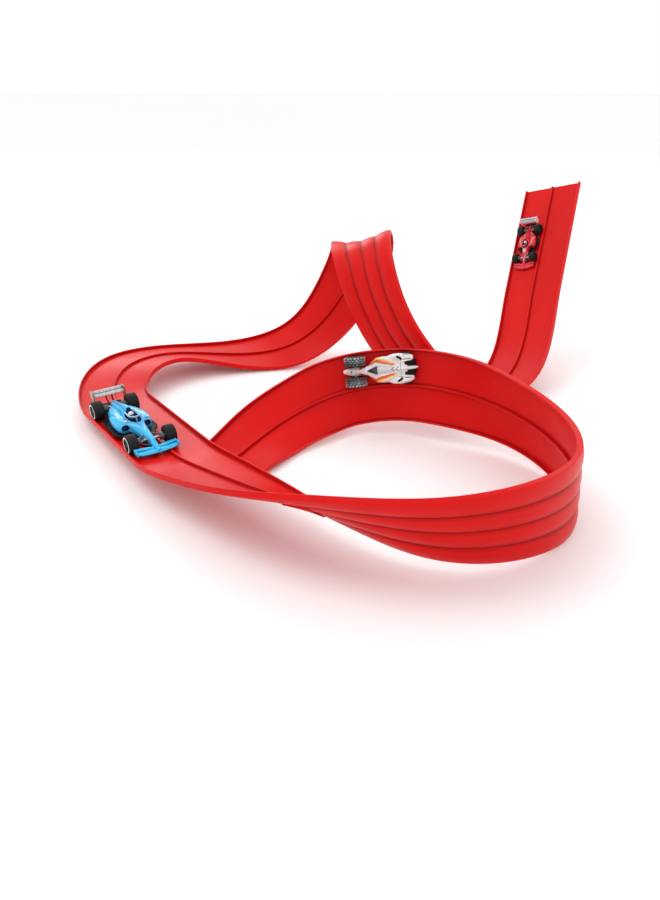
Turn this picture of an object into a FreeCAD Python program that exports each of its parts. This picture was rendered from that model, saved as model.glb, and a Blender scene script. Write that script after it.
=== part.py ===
import FreeCAD, Part
import math
import os
import Sketcher
from FreeCAD import Placement, Rotation, Vector

# Two-lane flexible race track set: a flat strip of red plastic, joined from six
# equal lengths, bent by hand into a drop, a twisted loop, a wide left turn and a
# ring.  Two small cars stand in its right-hand lane, and a larger one stands
# astride the rib.  Millimetres, Z is up, and the floor is at Z = 0.

os.makedirs("parts", exist_ok=True)
doc = FreeCAD.newDocument("race_track_set")

# ---------------------------------------------------------------- sizes
sheet = doc.addObject("Spreadsheet::Sheet", "sizes")
SIZES = [
    ("track_width", "82", "strip, edge to edge"),
    ("wall_thick", "2", "side wall"),
    ("wall_top", "4", "side wall above the running surface"),
    ("rib_width", "3", "centre rib between the lanes"),
    ("rib_top", "3", "centre rib above the running surface"),
    ("floor_thick", "1.8", "running surface to a groove in the underside"),
    ("band_sag", "1.5", "bulge of each of the four bands underneath"),
    ("joiner_width", "30", "tongue under each butt joint"),
    ("joiner_thick", "1.4", "tongue under each butt joint"),
    ("joiner_length", "26", "tongue under each butt joint"),
    ("half_track", "=track_width / 2", "derived"),
    ("wall_in", "=half_track - wall_thick", "derived"),
    ("half_rib", "=rib_width / 2", "derived"),
    ("band_step", "=track_width / 4", "derived"),
    ("band_edge", "=-floor_thick", "derived"),
    ("band_low", "=-floor_thick - band_sag", "derived"),
    ("crest_one", "=band_step * 0.22", "edges of the flat crests of the bands, derived"),
    ("crest_two", "=band_step * 0.78", "derived"),
    ("crest_three", "=band_step * 1.22", "derived"),
    ("crest_four", "=band_step * 1.78", "derived"),
    ("lane_middle", "=(wall_in + half_rib) / 2", "lane centre from the rib, derived"),
    ("joiner_half", "=joiner_width / 2", "derived"),
    ("joiner_high", "=band_low - 0.06", "derived"),
    ("joiner_low", "=joiner_high - joiner_thick", "derived"),
    ("axle_radius", "1", "steel axle of every car"),
    ("axle_room", "1.35", "hole the axle turns in"),
    ("ground_gap", "0.3", "tyre to running surface"),
    ("rear_radius", "7.4", "rear tyre, open-wheel car"),
    ("rear_tread", "8.6", "rear tyre width, open-wheel car"),
    ("front_radius", "7", "front tyre, open-wheel car"),
    ("front_tread", "7.8", "front tyre width, open-wheel car"),
    ("car_half", "18.2", "half width over the tyres, open-wheel car"),
    ("blue_scale", "1.45", "the blue car is a larger model: it stands astride the rib"),
    ("red_scale", "0.92", "the red car against the shared open-wheel sizes"),
    ("blue_base", "76", "wheelbase of the blue car before its scale"),
    ("red_base", "46", "wheelbase of the red car before its scale"),
    ("white_base", "56", "wheelbase of the white car"),
    ("white_half", "17.2", "half width over the tyres, white car"),
    ("white_front_radius", "12", "front tyre, white car"),
    ("white_front_tread", "11.4", "front tyre width, white car"),
    ("white_rear_radius", "7.2", "rear tyre, white car"),
    ("white_rear_tread", "7", "rear tyre width, white car"),
]
for row, (alias, value, note) in enumerate(SIZES, start=1):
    sheet.set("A%d" % row, alias.replace("_", " "))
    sheet.set("B%d" % row, value)
    sheet.setAlias("B%d" % row, alias)
    sheet.set("C%d" % row, note)
doc.recompute()


def size(alias):
    """Value of a sheet cell, with an optional leading minus sign."""
    if alias.startswith("-"):
        return -float(sheet.get(alias[1:]))
    return float(sheet.get(alias))


def coordinate(entry):
    """A sketch coordinate: a number, or the alias of a sheet cell."""
    if isinstance(entry, str):
        return size(entry)
    return float(entry)


def tie(sketch, axis, vertex, entry):
    """Dimension one coordinate of a sketch vertex from the origin."""
    value = coordinate(entry)
    geometry, end = vertex
    if abs(value) < 1e-9:
        line = -2 if axis == "DistanceX" else -1
        sketch.addConstraint(Sketcher.Constraint("PointOnObject", geometry, end, line))
        return
    if value > 0:
        rule = Sketcher.Constraint(axis, -1, 1, geometry, end, value)
    else:
        rule = Sketcher.Constraint(axis, geometry, end, -1, 1, -value)
    index = sketch.addConstraint(rule)
    if isinstance(entry, str):
        alias = entry[1:] if entry.startswith("-") else entry
        sign = "" if (value > 0) != entry.startswith("-") else "-"
        sketch.setExpression("Constraints[%d]" % index, "%ssizes.%s" % (sign, alias))


def outline(label, points, placement=None):
    """Closed sketch of straight edges through the points, fully dimensioned."""
    sketch = doc.addObject("Sketcher::SketchObject", label)
    sketch.Label = label
    corners = [Vector(coordinate(x), coordinate(y), 0) for x, y in points]
    count = len(corners)
    for index in range(count):
        sketch.addGeometry(Part.LineSegment(corners[index], corners[(index + 1) % count]))
    for index in range(count):
        after = (index + 1) % count
        sketch.addConstraint(Sketcher.Constraint("Coincident", index, 2, after, 1))
    for index, (x, y) in enumerate(points):
        tie(sketch, "DistanceX", (index, 1), x)
        tie(sketch, "DistanceY", (index, 1), y)
    if placement is not None:
        sketch.Placement = placement
    return sketch


# ---------------------------------------------------------------- route
# The strip is followed in driving direction.  A station is the middle of the
# running surface (x, y, z) and the way its left edge points: the compass
# heading and the lift above the horizontal, in degrees.
DROP = ((317, 304, 219), (281, 210, 100), -39, 15)
LOOP = [
    (261, 149, 47, -36, 20), (225, 84, 13, -42, 13), (161, 34, 18, -59, 17),
    (95, 25, 64, -54, 37), (54, 62, 125, -37, 42), (39, 125, 176, -15, 29),
    (41, 191, 150, -12, -17), (6, 202, 76, -42, -29), (-56, 198, 21, -71, -23),
    (-137, 183, 12, -76, -5), (-213, 152, 24, -56, 4), (-262, 87, 28, -15, -1),
]
BLUE_STRAIGHT = ((-248, -15, 19), (-163, -147, 25), 34, 2)
RING = [
    (-119, -199, 31, 41, -5), (-62, -258, 41, 45, -20), (5, -308, 48, 58, -44),
    (86, -334, 48, 87, -66), (167, -313, 45, 138, -82), (222, -251, 40, -63, -87),
    (226, -168, 43, 47, -82), (182, -97, 53, 87, -84),
]
ARC_CENTRE = Vector(38, -190, 40)
ARC_AXIS = Vector(-0.179, -0.28, 0.943)
ARC_RIGHT = Vector(110, -38, 97)
ARC_LEFT = Vector(104, -57, 17)
ARC_SWEEP = 33
TAIL = [(-18, -43, 34, -48, -45), (-64, -76, 18, -38, -25), (-104, -130, 5, -30, -4)]
# The origin is moved to the middle of the footprint, on the floor.
SHIFT = Vector(-20, 12, 1.9)
SECTIONS = 6
STEPS = 18


def spin(vector, axis, angle):
    """A vector turned about an axis by an angle in degrees."""
    return Rotation(axis, angle).multVec(vector)


def pointing(heading, lift):
    """Unit vector from a compass heading and a lift, in degrees."""
    flat = math.cos(math.radians(lift))
    turn = math.radians(heading)
    return Vector(flat * math.cos(turn), flat * math.sin(turn), math.sin(math.radians(lift)))


def square_off(across, along):
    """Unit vector nearest to across that is square to the unit vector along."""
    level = across - along * across.dot(along)
    return level.normalize()


class StraightLeg:
    """A straight, untwisted piece of the route."""

    def __init__(self, first, last, heading, lift):
        self.start = Vector(*first) + SHIFT
        chord = Vector(*last) - Vector(*first)
        self.length = chord.Length
        self.along = chord.normalize()
        self.across = square_off(pointing(heading, lift), self.along)

    def edges(self, distance):
        middle = self.start + self.along * distance
        half = self.across * size("half_track")
        return middle - half, middle + half, self.along

    def slope(self, distance):
        return self.along, self.along


class ArcLeg:
    """A banked arc: both edges turn about one axis."""

    def __init__(self, centre, axis, right, left, sweep):
        self.centre = centre + SHIFT
        self.axis = Vector(axis).normalize()
        self.sweep = sweep
        self.middle = (right + left) * 0.5 + SHIFT
        along = self.axis.cross(self.middle - self.centre)
        self.radius = along.Length
        self.along = along.normalize()
        self.across = square_off(left - right, self.along)
        self.length = self.radius * math.radians(sweep)

    def edges(self, distance):
        angle = math.degrees(distance / self.radius)
        middle = self.centre + spin(self.middle - self.centre, self.axis, angle)
        half = spin(self.across, self.axis, angle) * size("half_track")
        return middle - half, middle + half, spin(self.along, self.axis, angle)

    def slope(self, distance):
        right, left, along = self.edges(distance)
        right_slope = self.axis.cross(right - self.centre) * (1 / self.radius)
        left_slope = self.axis.cross(left - self.centre) * (1 / self.radius)
        return right_slope, left_slope


class BentLeg:
    """A freely bent piece: both edges are smooth curves through the stations."""

    def __init__(self, stations, before, after):
        rights = [before.edges(before.length)[0]]
        lefts = [before.edges(before.length)[1]]
        for x, y, z, heading, lift in stations:
            middle = Vector(x, y, z) + SHIFT
            half = pointing(heading, lift) * size("half_track")
            rights.append(middle - half)
            lefts.append(middle + half)
        first = before.slope(before.length)
        if after is not None:
            rights.append(after.edges(0)[0])
            lefts.append(after.edges(0)[1])
            last = after.slope(0)
        else:
            run = (rights[-1] + lefts[-1] - rights[-2] - lefts[-2]).normalize()
            last = (run, run)
        marks = [0.0]
        for index in range(1, len(rights)):
            step = (rights[index] + lefts[index] - rights[index - 1] - lefts[index - 1]) * 0.5
            marks.append(marks[-1] + step.Length)
        self.length = marks[-1]
        self.right = Part.BSplineCurve()
        self.left = Part.BSplineCurve()
        self.right.interpolate(Points=rights, Parameters=marks, InitialTangent=first[0],
                               FinalTangent=last[0], Scale=False)
        self.left.interpolate(Points=lefts, Parameters=marks, InitialTangent=first[1],
                              FinalTangent=last[1], Scale=False)

    def edges(self, distance):
        distance = min(distance, self.length)
        right = self.right.value(distance)
        left = self.left.value(distance)
        along = self.right.getD1(distance)[1] + self.left.getD1(distance)[1]
        return right, left, along.normalize()


drop = StraightLeg(*DROP)
blue_straight = StraightLeg(*BLUE_STRAIGHT)
white_arc = ArcLeg(ARC_CENTRE, ARC_AXIS, ARC_RIGHT, ARC_LEFT, ARC_SWEEP)
loop = BentLeg(LOOP, drop, blue_straight)
ring = BentLeg(RING, blue_straight, white_arc)
tail = BentLeg(TAIL, white_arc, None)
LEGS = [drop, loop, blue_straight, ring, white_arc, tail]


def leg_start(wanted):
    """Distance along the route at which a leg begins."""
    total = 0.0
    for leg in LEGS:
        if leg is wanted:
            return total
        total += leg.length
    return total


route_length = sum(leg.length for leg in LEGS)


def frame(distance, across=0.0, above=0.0):
    """Placement on the running surface: X along, Y to the left edge, Z out of it."""
    for leg in LEGS:
        if distance <= leg.length or leg is LEGS[-1]:
            break
        distance -= leg.length
    right, left, along = leg.edges(distance)
    side = (left - right).normalize()
    out = along.cross(side).normalize()
    origin = (right + left) * 0.5 + side * across + out * above
    return Placement(origin, Rotation(side.cross(out), side, out, "ZYX"))


ACROSS = Placement(Vector(0, 0, 0), Rotation(Vector(1, 1, 1), 120))


# ---------------------------------------------------------------- track
track_profile = outline("track_profile", [
    ("-half_track", "band_edge"), ("-half_track", "wall_top"), ("-wall_in", "wall_top"),
    ("-wall_in", 0), ("-half_rib", 0), ("-half_rib", "rib_top"), ("half_rib", "rib_top"),
    ("half_rib", 0), ("wall_in", 0), ("wall_in", "wall_top"), ("half_track", "wall_top"),
    ("half_track", "band_edge"), ("crest_four", "band_low"), ("crest_three", "band_low"),
    ("band_step", "band_edge"), ("crest_two", "band_low"), ("crest_one", "band_low"),
    (0, "band_edge"), ("-crest_one", "band_low"), ("-crest_two", "band_low"),
    ("-band_step", "band_edge"), ("-crest_three", "band_low"), ("-crest_four", "band_low"),
])
joiner_profile = outline("joiner_profile", [
    ("-joiner_half", "joiner_low"), ("joiner_half", "joiner_low"),
    ("joiner_half", "joiner_high"), ("-joiner_half", "joiner_high"),
])
parts = {}


def along_route(label, profile, first, last, steps):
    """Loft of one section carried along the route between two distances."""
    marks = [0, 1 / 3, 2 / 3] + list(range(1, steps)) + [steps - 2 / 3, steps - 1 / 3, steps]
    stops = []
    for index, mark in enumerate(marks):
        distance = first + (last - first) * mark / steps
        stop = doc.addObject("App::Link", "%s_stop_%02d" % (label, index))
        stop.LinkedObject = profile
        stop.LinkTransform = False
        stop.Placement = frame(distance).multiply(ACROSS)
        stops.append(stop)
    loft = doc.addObject("Part::Loft", label)
    loft.Sections = stops
    loft.Solid = True
    loft.Ruled = False
    loft.Closed = False
    loft.Label = label
    parts[label] = loft
    return loft


piece = route_length / SECTIONS
for number in range(SECTIONS):
    start = number * piece
    along_route("track_%d" % (number + 1), track_profile, start, start + piece, STEPS)
for number in range(1, SECTIONS):
    reach = size("joiner_length") / 2
    seam = number * piece
    along_route("joiner_%d" % number, joiner_profile, seam - reach, seam + reach, 4)


# ---------------------------------------------------------------- car pieces
# Every car is built about its own origin: X forward, Y to its left, Z up, with
# the running surface at Z = 0 and X = 0 half way between the axles.


class CarSpot:
    """Where a car stands, and the sheet cell that scales its pieces."""

    def __init__(self, place, scale_alias=None):
        self.place = place
        self.scale_alias = scale_alias


def station(x):
    """Placement of a cross-section sketch at a distance along the car."""
    return Placement(Vector(x, 0, 0), Rotation(Vector(1, 1, 1), 120))


def hull(label, sections):
    """Faceted loft through six-sided sections: x, low, waist, high, three half widths."""
    rings = []
    for index, (x, low, waist, high, foot, side, crown) in enumerate(sections):
        points = [(-foot, low), (-side, waist), (-crown, high), (crown, high), (side, waist), (foot, low)]
        rings.append(outline("%s_section_%d" % (label, index), points, station(x)))
    loft = doc.addObject("Part::Loft", label)
    loft.Sections = rings
    loft.Solid = True
    loft.Ruled = True
    return loft


def box(label, low, high):
    """Block between two corners."""
    block = doc.addObject("Part::Box", label)
    block.Length = high[0] - low[0]
    block.Width = high[1] - low[1]
    block.Height = high[2] - low[2]
    block.Placement = Placement(Vector(*low), Rotation())
    return block


def crossbar(label, x, z, radius_alias, length):
    """Cylinder lying across the car, centred on Y = 0."""
    rod = doc.addObject("Part::Cylinder", label)
    rod.setExpression("Radius", "sizes.%s" % radius_alias)
    rod.Height = length
    rod.Placement = Placement(Vector(x, length / 2, z), Rotation(Vector(1, 0, 0), 90))
    return rod


def join(label, pieces):
    """Union of several shapes."""
    union = doc.addObject("Part::MultiFuse", label)
    union.Shapes = pieces
    return union


def carve(label, base, tools):
    """One shape with others cut away, one after another."""
    for index, tool in enumerate(tools):
        cut = doc.addObject("Part::Cut", "%s_%d" % (label, index))
        cut.Base = base
        cut.Tool = tool
        cut.Refine = False
        base = cut
    return base


def plate(label, points, low, thick, placement=None):
    """Flat plate: a plan outline (x, y) given a thickness upward from low."""
    body = doc.addObject("Part::Extrusion", label)
    base = Placement(Vector(0, 0, low), Rotation()) if placement is None else placement
    body.Base = outline(label + "_plan", points, base)
    body.DirMode = "Normal"
    body.LengthFwd = thick
    body.Solid = True
    return body


def mirrored(points):
    """Plan outline completed by its mirror image across the car's middle line."""
    return points + [(x, -y) for x, y in reversed(points)]


def wheel(label, x, y, side, radius_alias, tread_alias, rim):
    """Wheel turned as one piece: tyre, sunk rim face, bore for the axle."""
    radius = size(radius_alias)
    half = size(tread_alias) / 2
    bore = size("axle_radius")
    points = [
        (bore, -half), (radius - 0.9, -half), (radius, 0.9 - half), (radius, half - 0.9),
        (radius - 0.9, half), (rim, half), (rim - 0.5, half - 1.3), (rim - 1.6, half - 1.5),
        (bore, half - 0.9),
    ]
    turned = doc.addObject("Part::Revolution", label)
    turned.Source = outline(label + "_half", points)
    turned.Axis = Vector(0, 1, 0)
    turned.Angle = 360
    turned.Solid = True
    flip = Rotation() if side > 0 else Rotation(Vector(1, 0, 0), 180)
    turned.Placement = Placement(Vector(x, y, radius), flip)
    return turned


def place(label, item, car):
    """Name a finished piece, scale it and set it where its car stands on the track."""
    if car.scale_alias is not None:
        whole = doc.addObject("Part::Compound", label + "_whole")
        whole.Links = [item]
        scaled = doc.addObject("Part::Scale", label + "_scaled")
        scaled.Base = whole
        scaled.Uniform = True
        scaled.setExpression("UniformScale", "sizes.%s" % car.scale_alias)
        item = scaled
    piece_on_track = doc.addObject("Part::Compound", label)
    piece_on_track.Label = label
    piece_on_track.Links = [item]
    piece_on_track.Placement = car.place
    parts[label] = piece_on_track


def wheel_set(name, end, x, radius_alias, tread_alias, half_width, rim, car):
    """Axle with a wheel pressed on each end."""
    reach = half_width - size(tread_alias) / 2
    rod = crossbar("%s_%s_rod" % (name, end), x, size(radius_alias), "axle_radius",
                   2 * half_width - 1.8)
    place("%s_%s_axle" % (name, end), rod, car)
    for side, word in ((1, "left"), (-1, "right")):
        label = "%s_%s_%s" % (name, end, word)
        turned = wheel(label, x, side * reach, side, radius_alias, tread_alias, rim)
        place(label + "_wheel", turned, car)


def beam(label, first, last, radius):
    """Round bar between two points."""
    run = Vector(*last) - Vector(*first)
    bar = doc.addObject("Part::Cylinder", label)
    bar.Radius = radius
    bar.Height = run.Length
    bar.Placement = Placement(Vector(*first), Rotation(Vector(0, 0, 1), run))
    return bar


def open_wheel_car(name, base_alias, car):
    """Formula-style car: floor, shell, two wings, driver, halo and two axles."""
    base = size(base_alias)
    front = base / 2
    rear = -front
    rooms = [crossbar(name + "_front_room", front, size("front_radius"), "axle_room", 30),
             crossbar(name + "_rear_room", rear, size("rear_radius"), "axle_room", 30)]

    def back(fraction):
        """Distance along the car, as a part of the wheelbase behind the front axle."""
        return front - fraction * base

    plank = plate(name + "_plank", mirrored([
        (rear - 9, 5.5), (rear - 8, 9), (rear + 9, 9), (rear + 12, 15.5),
        (back(0.4), 16.5), (back(0.3), 13), (front - 9, 7), (front + 8, 4),
    ]), 2.2, 0.8)
    blocks = [box(name + "_rear_block", (rear - 4, -8.6, 2.9), (rear + 4, 8.6, 9.6)),
              box(name + "_front_block", (front - 2.4, -9.4, 2.9), (front + 2.4, 9.4, 8.9))]
    chassis = join(name + "_chassis", [plank] + blocks)
    floor = carve(name + "_floor_cut", chassis, rooms)
    place(name + "_floor", floor, car)

    spine = hull(name + "_spine", [
        (front + 14, 3.8, 4.8, 5.8, 1.2, 2, 1.2), (front + 4, 3.8, 6.8, 9.8, 2.2, 3.2, 1.8),
        (back(0.13), 2.9, 8, 11, 3, 4.4, 2.4), (back(0.3), 2.9, 8.6, 13, 4, 6, 3.8),
        (back(0.45), 2.9, 9.5, 14.4, 4, 6.8, 4.2), (back(0.58), 2.9, 10, 18, 4, 6, 2.2),
        (back(0.8), 2.9, 9, 14.5, 4, 5.4, 1.8), (rear - 6, 6, 8.4, 10.5, 2, 2.8, 1),
    ])
    pods = hull(name + "_pods", [
        (back(0.37), 2.9, 7, 10.2, 11, 12.6, 9), (back(0.42), 2.9, 7, 11.2, 14.5, 15.4, 10.6),
        (back(0.6), 2.9, 6.8, 11.2, 14, 14.8, 9.4), (back(0.82), 2.9, 6, 9.6, 8.4, 8.8, 4.8),
        (rear + 4.5, 2.9, 5.6, 8.4, 5.4, 6, 3),
    ])
    hollows = [box(name + "_cockpit", (back(0.56), -3.1, 9.5), (back(0.34), 3.1, 20)),
               box(name + "_intake", (back(0.58), -1.3, 15), (back(0.53), 1.3, 16.8)), chassis]
    solid_shell = join(name + "_shell_solid", [spine, pods])
    shell = carve(name + "_shell_cut", solid_shell, hollows + rooms)
    place(name + "_shell", shell, car)

    blade = plate(name + "_blade", mirrored([
        (front + 17.5, 1.6), (front + 14.5, 15.6), (front + 8, 15.6), (front + 8.8, 1.6),
    ]), 2.4, 1.3)
    ends = [box(name + "_end_left", (front + 7.4, 14.9, 1.6), (front + 15, 16, 6)),
            box(name + "_end_right", (front + 7.4, -16, 1.6), (front + 15, -14.9, 6))]
    place(name + "_front_wing", join(name + "_front_aerofoil", [blade] + ends), car)

    back_edge = rear - 15.6
    pieces = [box(name + "_main", (back_edge, -12.5, 14.6), (rear - 8.4, 12.5, 15.7)),
              box(name + "_flap", (back_edge, -12.5, 17), (rear - 12.2, 12.5, 18)),
              box(name + "_foot", (back_edge + 2.6, -3, 4.2), (rear - 4, 3, 5.6))]
    for side, word in ((1, "left"), (-1, "right")):
        post = sorted((side * 2, side * 3))
        cheek = sorted((side * 12.2, side * 13.2))
        pieces.append(box("%s_post_%s" % (name, word), (rear - 13, post[0], 5),
                          (rear - 10.4, post[1], 15)))
        pieces.append(box("%s_cheek_%s" % (name, word), (rear - 16, cheek[0], 9.6),
                          (rear - 8, cheek[1], 18.6)))
    place(name + "_rear_wing", join(name + "_rear_aerofoil", pieces), car)

    helmet = doc.addObject("Part::Sphere", name + "_helmet")
    helmet.Radius = 2.5
    helmet.Placement = Placement(Vector(back(0.5), 0, 13.3), Rotation())
    shoulders = box(name + "_shoulders", (back(0.5) - 1.6, -2.9, 9.5), (back(0.5) + 1.6, 2.9, 11.6))
    place(name + "_driver", join(name + "_driver_solid", [helmet, shoulders]), car)

    hoop = doc.addObject("Part::Torus", name + "_hoop")
    hoop.Radius1 = 4.2
    hoop.Radius2 = 0.6
    hoop.Angle3 = 180
    tip = back(0.33)
    hoop.Placement = Placement(Vector(tip - 4.2, 0, 15.6), Rotation(Vector(0, 0, 1), -90))
    bars = [beam(name + "_halo_post", (tip, 0, 11), (tip, 0, 15.6), 0.6)]
    for side, word in ((1, "left"), (-1, "right")):
        bars.append(beam("%s_halo_%s" % (name, word), (tip - 4.2, side * 4.2, 15.6),
                         (back(0.58), side * 2.4, 14.8), 0.6))
    halo = join(name + "_halo_solid", [hoop] + bars)
    place(name + "_halo", carve(name + "_halo_cut", halo, [shell]), car)

    wheel_set(name, "front", front, "front_radius", "front_tread", size("car_half"), 4, car)
    wheel_set(name, "rear", rear, "rear_radius", "rear_tread", size("car_half"), 4.2, car)


def fantasy_car(name, car):
    """White racer: open front wheels, wide tail over the rear wheels."""
    front = size("white_base") / 2
    rear = -front
    front_high = size("white_front_radius")
    rear_high = size("white_rear_radius")
    rooms = [crossbar(name + "_front_room", front, front_high, "axle_room", 30),
             crossbar(name + "_rear_room", rear, rear_high, "axle_room", 30)]
    plank = plate(name + "_plank", mirrored([
        (-39.5, 8.4), (-19, 8.4), (-18, 13), (3, 13), (10, 6), (15, 4.4), (36, 2.6),
    ]), 3, 1.3)
    front_block = ((front - 3, -3.2, 4.3), (front + 3, 3.2, 13.9))
    rear_block = ((rear - 3, -8.4, 4.3), (rear + 3, 8.4, 9.6))
    chassis = join(name + "_chassis", [plank, box(name + "_front_block", *front_block),
                                       box(name + "_rear_block", *rear_block)])
    place(name + "_floor", carve(name + "_floor_cut", chassis, rooms), car)

    middle = hull(name + "_middle", [
        (43, 5.2, 6.4, 7.4, 0.8, 1.6, 0.6), (35, 4.6, 8, 12.4, 2.4, 3.4, 2),
        (28, 4.3, 9, 15.2, 3.8, 4.4, 3.6), (18, 4.3, 9, 14.4, 3.8, 4.8, 3.2),
        (8, 4.3, 8.8, 14.4, 7, 9.5, 4),
        (1, 4.3, 8.4, 15, 12, 14, 5), (-8, 4.3, 8.6, 15.4, 13, 15.2, 5.2),
        (-22, 4.4, 9.5, 15.4, 9, 11, 6), (-33, 4.8, 9.5, 14.4, 9, 11, 6.4),
        (-40, 5.4, 8.6, 11.6, 8, 10, 6),
    ])
    fenders = []
    for side, word in ((1, "left"), (-1, "right")):
        fender = hull("%s_fender_%s" % (name, word), [
            (-6, 4.8, 8, 11, 1.2, 2, 1), (-17, 4.8, 9.5, 15.6, 3.8, 4.4, 2.6),
            (-28, 4.8, 10, 16.8, 4, 4.6, 3.2), (-36, 5, 9.6, 15, 3.6, 4.2, 2.4),
            (-42, 6.2, 8.6, 11.4, 1.6, 2.4, 1.2),
        ])
        fender.Placement = Placement(Vector(0, side * 12.4, 0), Rotation())
        fenders.append(fender)
    wells = []
    for side, word in ((1, "left"), (-1, "right")):
        well = doc.addObject("Part::Cylinder", "%s_well_%s" % (name, word))
        well.Radius = rear_high + 0.8
        well.Height = 12
        edge = 9 if side > 0 else -21
        well.Placement = Placement(Vector(rear, edge + 12, rear_high), Rotation(Vector(1, 0, 0), 90))
        wells.append(well)
    ports = [((-46, 2.6, 6.4), (-35.5, 7, 10)), ((-46, -7, 6.4), (-35.5, -2.6, 10))]
    hollows = [box("%s_port_%d" % (name, index), *port) for index, port in enumerate(ports)]
    hollows.append(chassis)
    solid_shell = join(name + "_shell_solid", [middle] + fenders)
    shell = carve(name + "_shell_cut", solid_shell, hollows + wells + rooms)
    place(name + "_shell", shell, car)

    glass = hull(name + "_glass", [
        (13, 12, 14.6, 16.2, 0.8, 1, 0.6), (4.5, 12, 15.6, 18.2, 3.6, 4, 2.2),
        (2, 12, 15.8, 18.6, 3.2, 3.6, 2),
    ])
    place(name + "_canopy", carve(name + "_canopy_cut", glass, [shell]), car)
    plugs = [box("%s_plug_%d" % (name, side), (-38.4, min(side * 2.6, side * 7), 6.4),
                 (-35.5, max(side * 2.6, side * 7), 10)) for side in (1, -1)]
    for side, plug in zip(("left", "right"), plugs):
        place("%s_exhaust_%s" % (name, side), plug, car)

    half = size("white_half")
    wheel_set(name, "front", front, "white_front_radius", "white_front_tread", half, 5.4, car)
    wheel_set(name, "rear", rear, "white_rear_radius", "white_rear_tread", half, 4.2, car)


# ---------------------------------------------------------------- cars on the track
RED_AT = 90
RED_LANE = -18.9
BLUE_AT = 80
WHITE_AT = 49
WHITE_LANE = -18.85
WHITE_LIFT = 2.3
blue_lane = size("car_half") * size("blue_scale") + 0.5 - size("wall_in")
gap = size("ground_gap")
red_place = frame(leg_start(drop) + RED_AT, RED_LANE, gap)
blue_place = frame(leg_start(blue_straight) + BLUE_AT, blue_lane, gap)
white_place = frame(leg_start(white_arc) + WHITE_AT, WHITE_LANE, gap + WHITE_LIFT)
open_wheel_car("red", "red_base", CarSpot(red_place, "red_scale"))
open_wheel_car("blue", "blue_base", CarSpot(blue_place, "blue_scale"))
fantasy_car("white", CarSpot(white_place))

# ---------------------------------------------------------------- checks and files
doc.recompute()
faults = []
for item in doc.Objects:
    if "Invalid" in item.State or "Error" in item.State:
        faults.append("%s is %s" % (item.Label, item.State))
    if hasattr(item, "Shape") and (item.Shape.isNull() or not item.Shape.isValid()):
        faults.append("%s has a bad shape" % item.Label)
if faults:
    raise RuntimeError("; ".join(faults))
for name, item in parts.items():
    solids = item.Shape.Solids
    shape = solids[0] if len(solids) == 1 else item.Shape
    shape.exportStep(os.path.join("parts", name + ".step"))
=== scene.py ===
import math

import bpy
import numpy as np
from mathutils import Matrix, Vector


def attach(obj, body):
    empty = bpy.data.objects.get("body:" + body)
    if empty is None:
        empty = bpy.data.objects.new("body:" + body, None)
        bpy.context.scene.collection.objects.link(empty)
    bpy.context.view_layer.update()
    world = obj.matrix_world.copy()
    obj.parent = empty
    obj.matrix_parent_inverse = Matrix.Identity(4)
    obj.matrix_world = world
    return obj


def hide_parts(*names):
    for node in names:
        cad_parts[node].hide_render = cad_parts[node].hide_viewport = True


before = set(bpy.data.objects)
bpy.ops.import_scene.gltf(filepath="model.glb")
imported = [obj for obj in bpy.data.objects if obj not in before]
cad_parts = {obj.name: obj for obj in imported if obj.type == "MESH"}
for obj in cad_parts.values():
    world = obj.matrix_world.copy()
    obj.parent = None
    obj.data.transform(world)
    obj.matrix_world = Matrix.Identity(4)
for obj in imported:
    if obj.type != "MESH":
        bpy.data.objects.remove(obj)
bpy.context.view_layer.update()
MM = 0.001


# ---------------------------------------------------------------- route of the strip
# The same stations as the CAD source, in millimetres: middle of the running
# surface, compass heading and lift of the way the left edge points.
WIDTH = 82.0
DROP = ((317, 304, 219), (281, 210, 100), -39, 15)
LOOP = [
    (261, 149, 47, -36, 20), (225, 84, 13, -42, 13), (161, 34, 18, -59, 17),
    (95, 25, 64, -54, 37), (54, 62, 125, -37, 42), (39, 125, 176, -15, 29),
    (41, 191, 150, -12, -17), (6, 202, 76, -42, -29), (-56, 198, 21, -71, -23),
    (-137, 183, 12, -76, -5), (-213, 152, 24, -56, 4), (-262, 87, 28, -15, -1),
]
BLUE_STRAIGHT = ((-248, -15, 19), (-163, -147, 25), 34, 2)
RING = [
    (-119, -199, 31, 41, -5), (-62, -258, 41, 45, -20), (5, -308, 48, 58, -44),
    (86, -334, 48, 87, -66), (167, -313, 45, 138, -82), (222, -251, 40, -63, -87),
    (226, -168, 43, 47, -82), (182, -97, 53, 87, -84),
]
ARC_CENTRE = (38, -190, 40)
ARC_AXIS = (-0.179, -0.28, 0.943)
ARC_RIGHT = (110, -38, 97)
ARC_LEFT = (104, -57, 17)
ARC_SWEEP = 33
TAIL = [(-18, -43, 34, -48, -45), (-64, -76, 18, -38, -25), (-104, -130, 5, -30, -4)]
SHIFT = np.array([-20, 12, 1.9])
PIECES = 6


def unit(v):
    return v / np.linalg.norm(v)


def pointing(heading, lift):
    h, l = math.radians(heading), math.radians(lift)
    return np.array([math.cos(l) * math.cos(h), math.cos(l) * math.sin(h), math.sin(l)])


def spin(v, axis, degrees):
    a = math.radians(degrees)
    level = axis * np.dot(axis, v) * (1 - math.cos(a))
    return v * math.cos(a) + np.cross(axis, v) * math.sin(a) + level


class StraightLeg:
    """Straight stretch; edges gives the right and left edge and the way ahead at a distance."""

    def __init__(self, leg):
        first, last, heading, lift = leg
        self.start = np.array(first, float) + SHIFT
        chord = np.array(last, float) - np.array(first, float)
        self.length = np.linalg.norm(chord)
        self.along = unit(chord)
        side = pointing(heading, lift)
        self.half = unit(side - self.along * np.dot(side, self.along)) * WIDTH / 2

    def edges(self, d):
        middle = self.start + self.along * d
        return middle - self.half, middle + self.half, self.along

    def slope(self, d):
        return self.along, self.along


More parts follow.
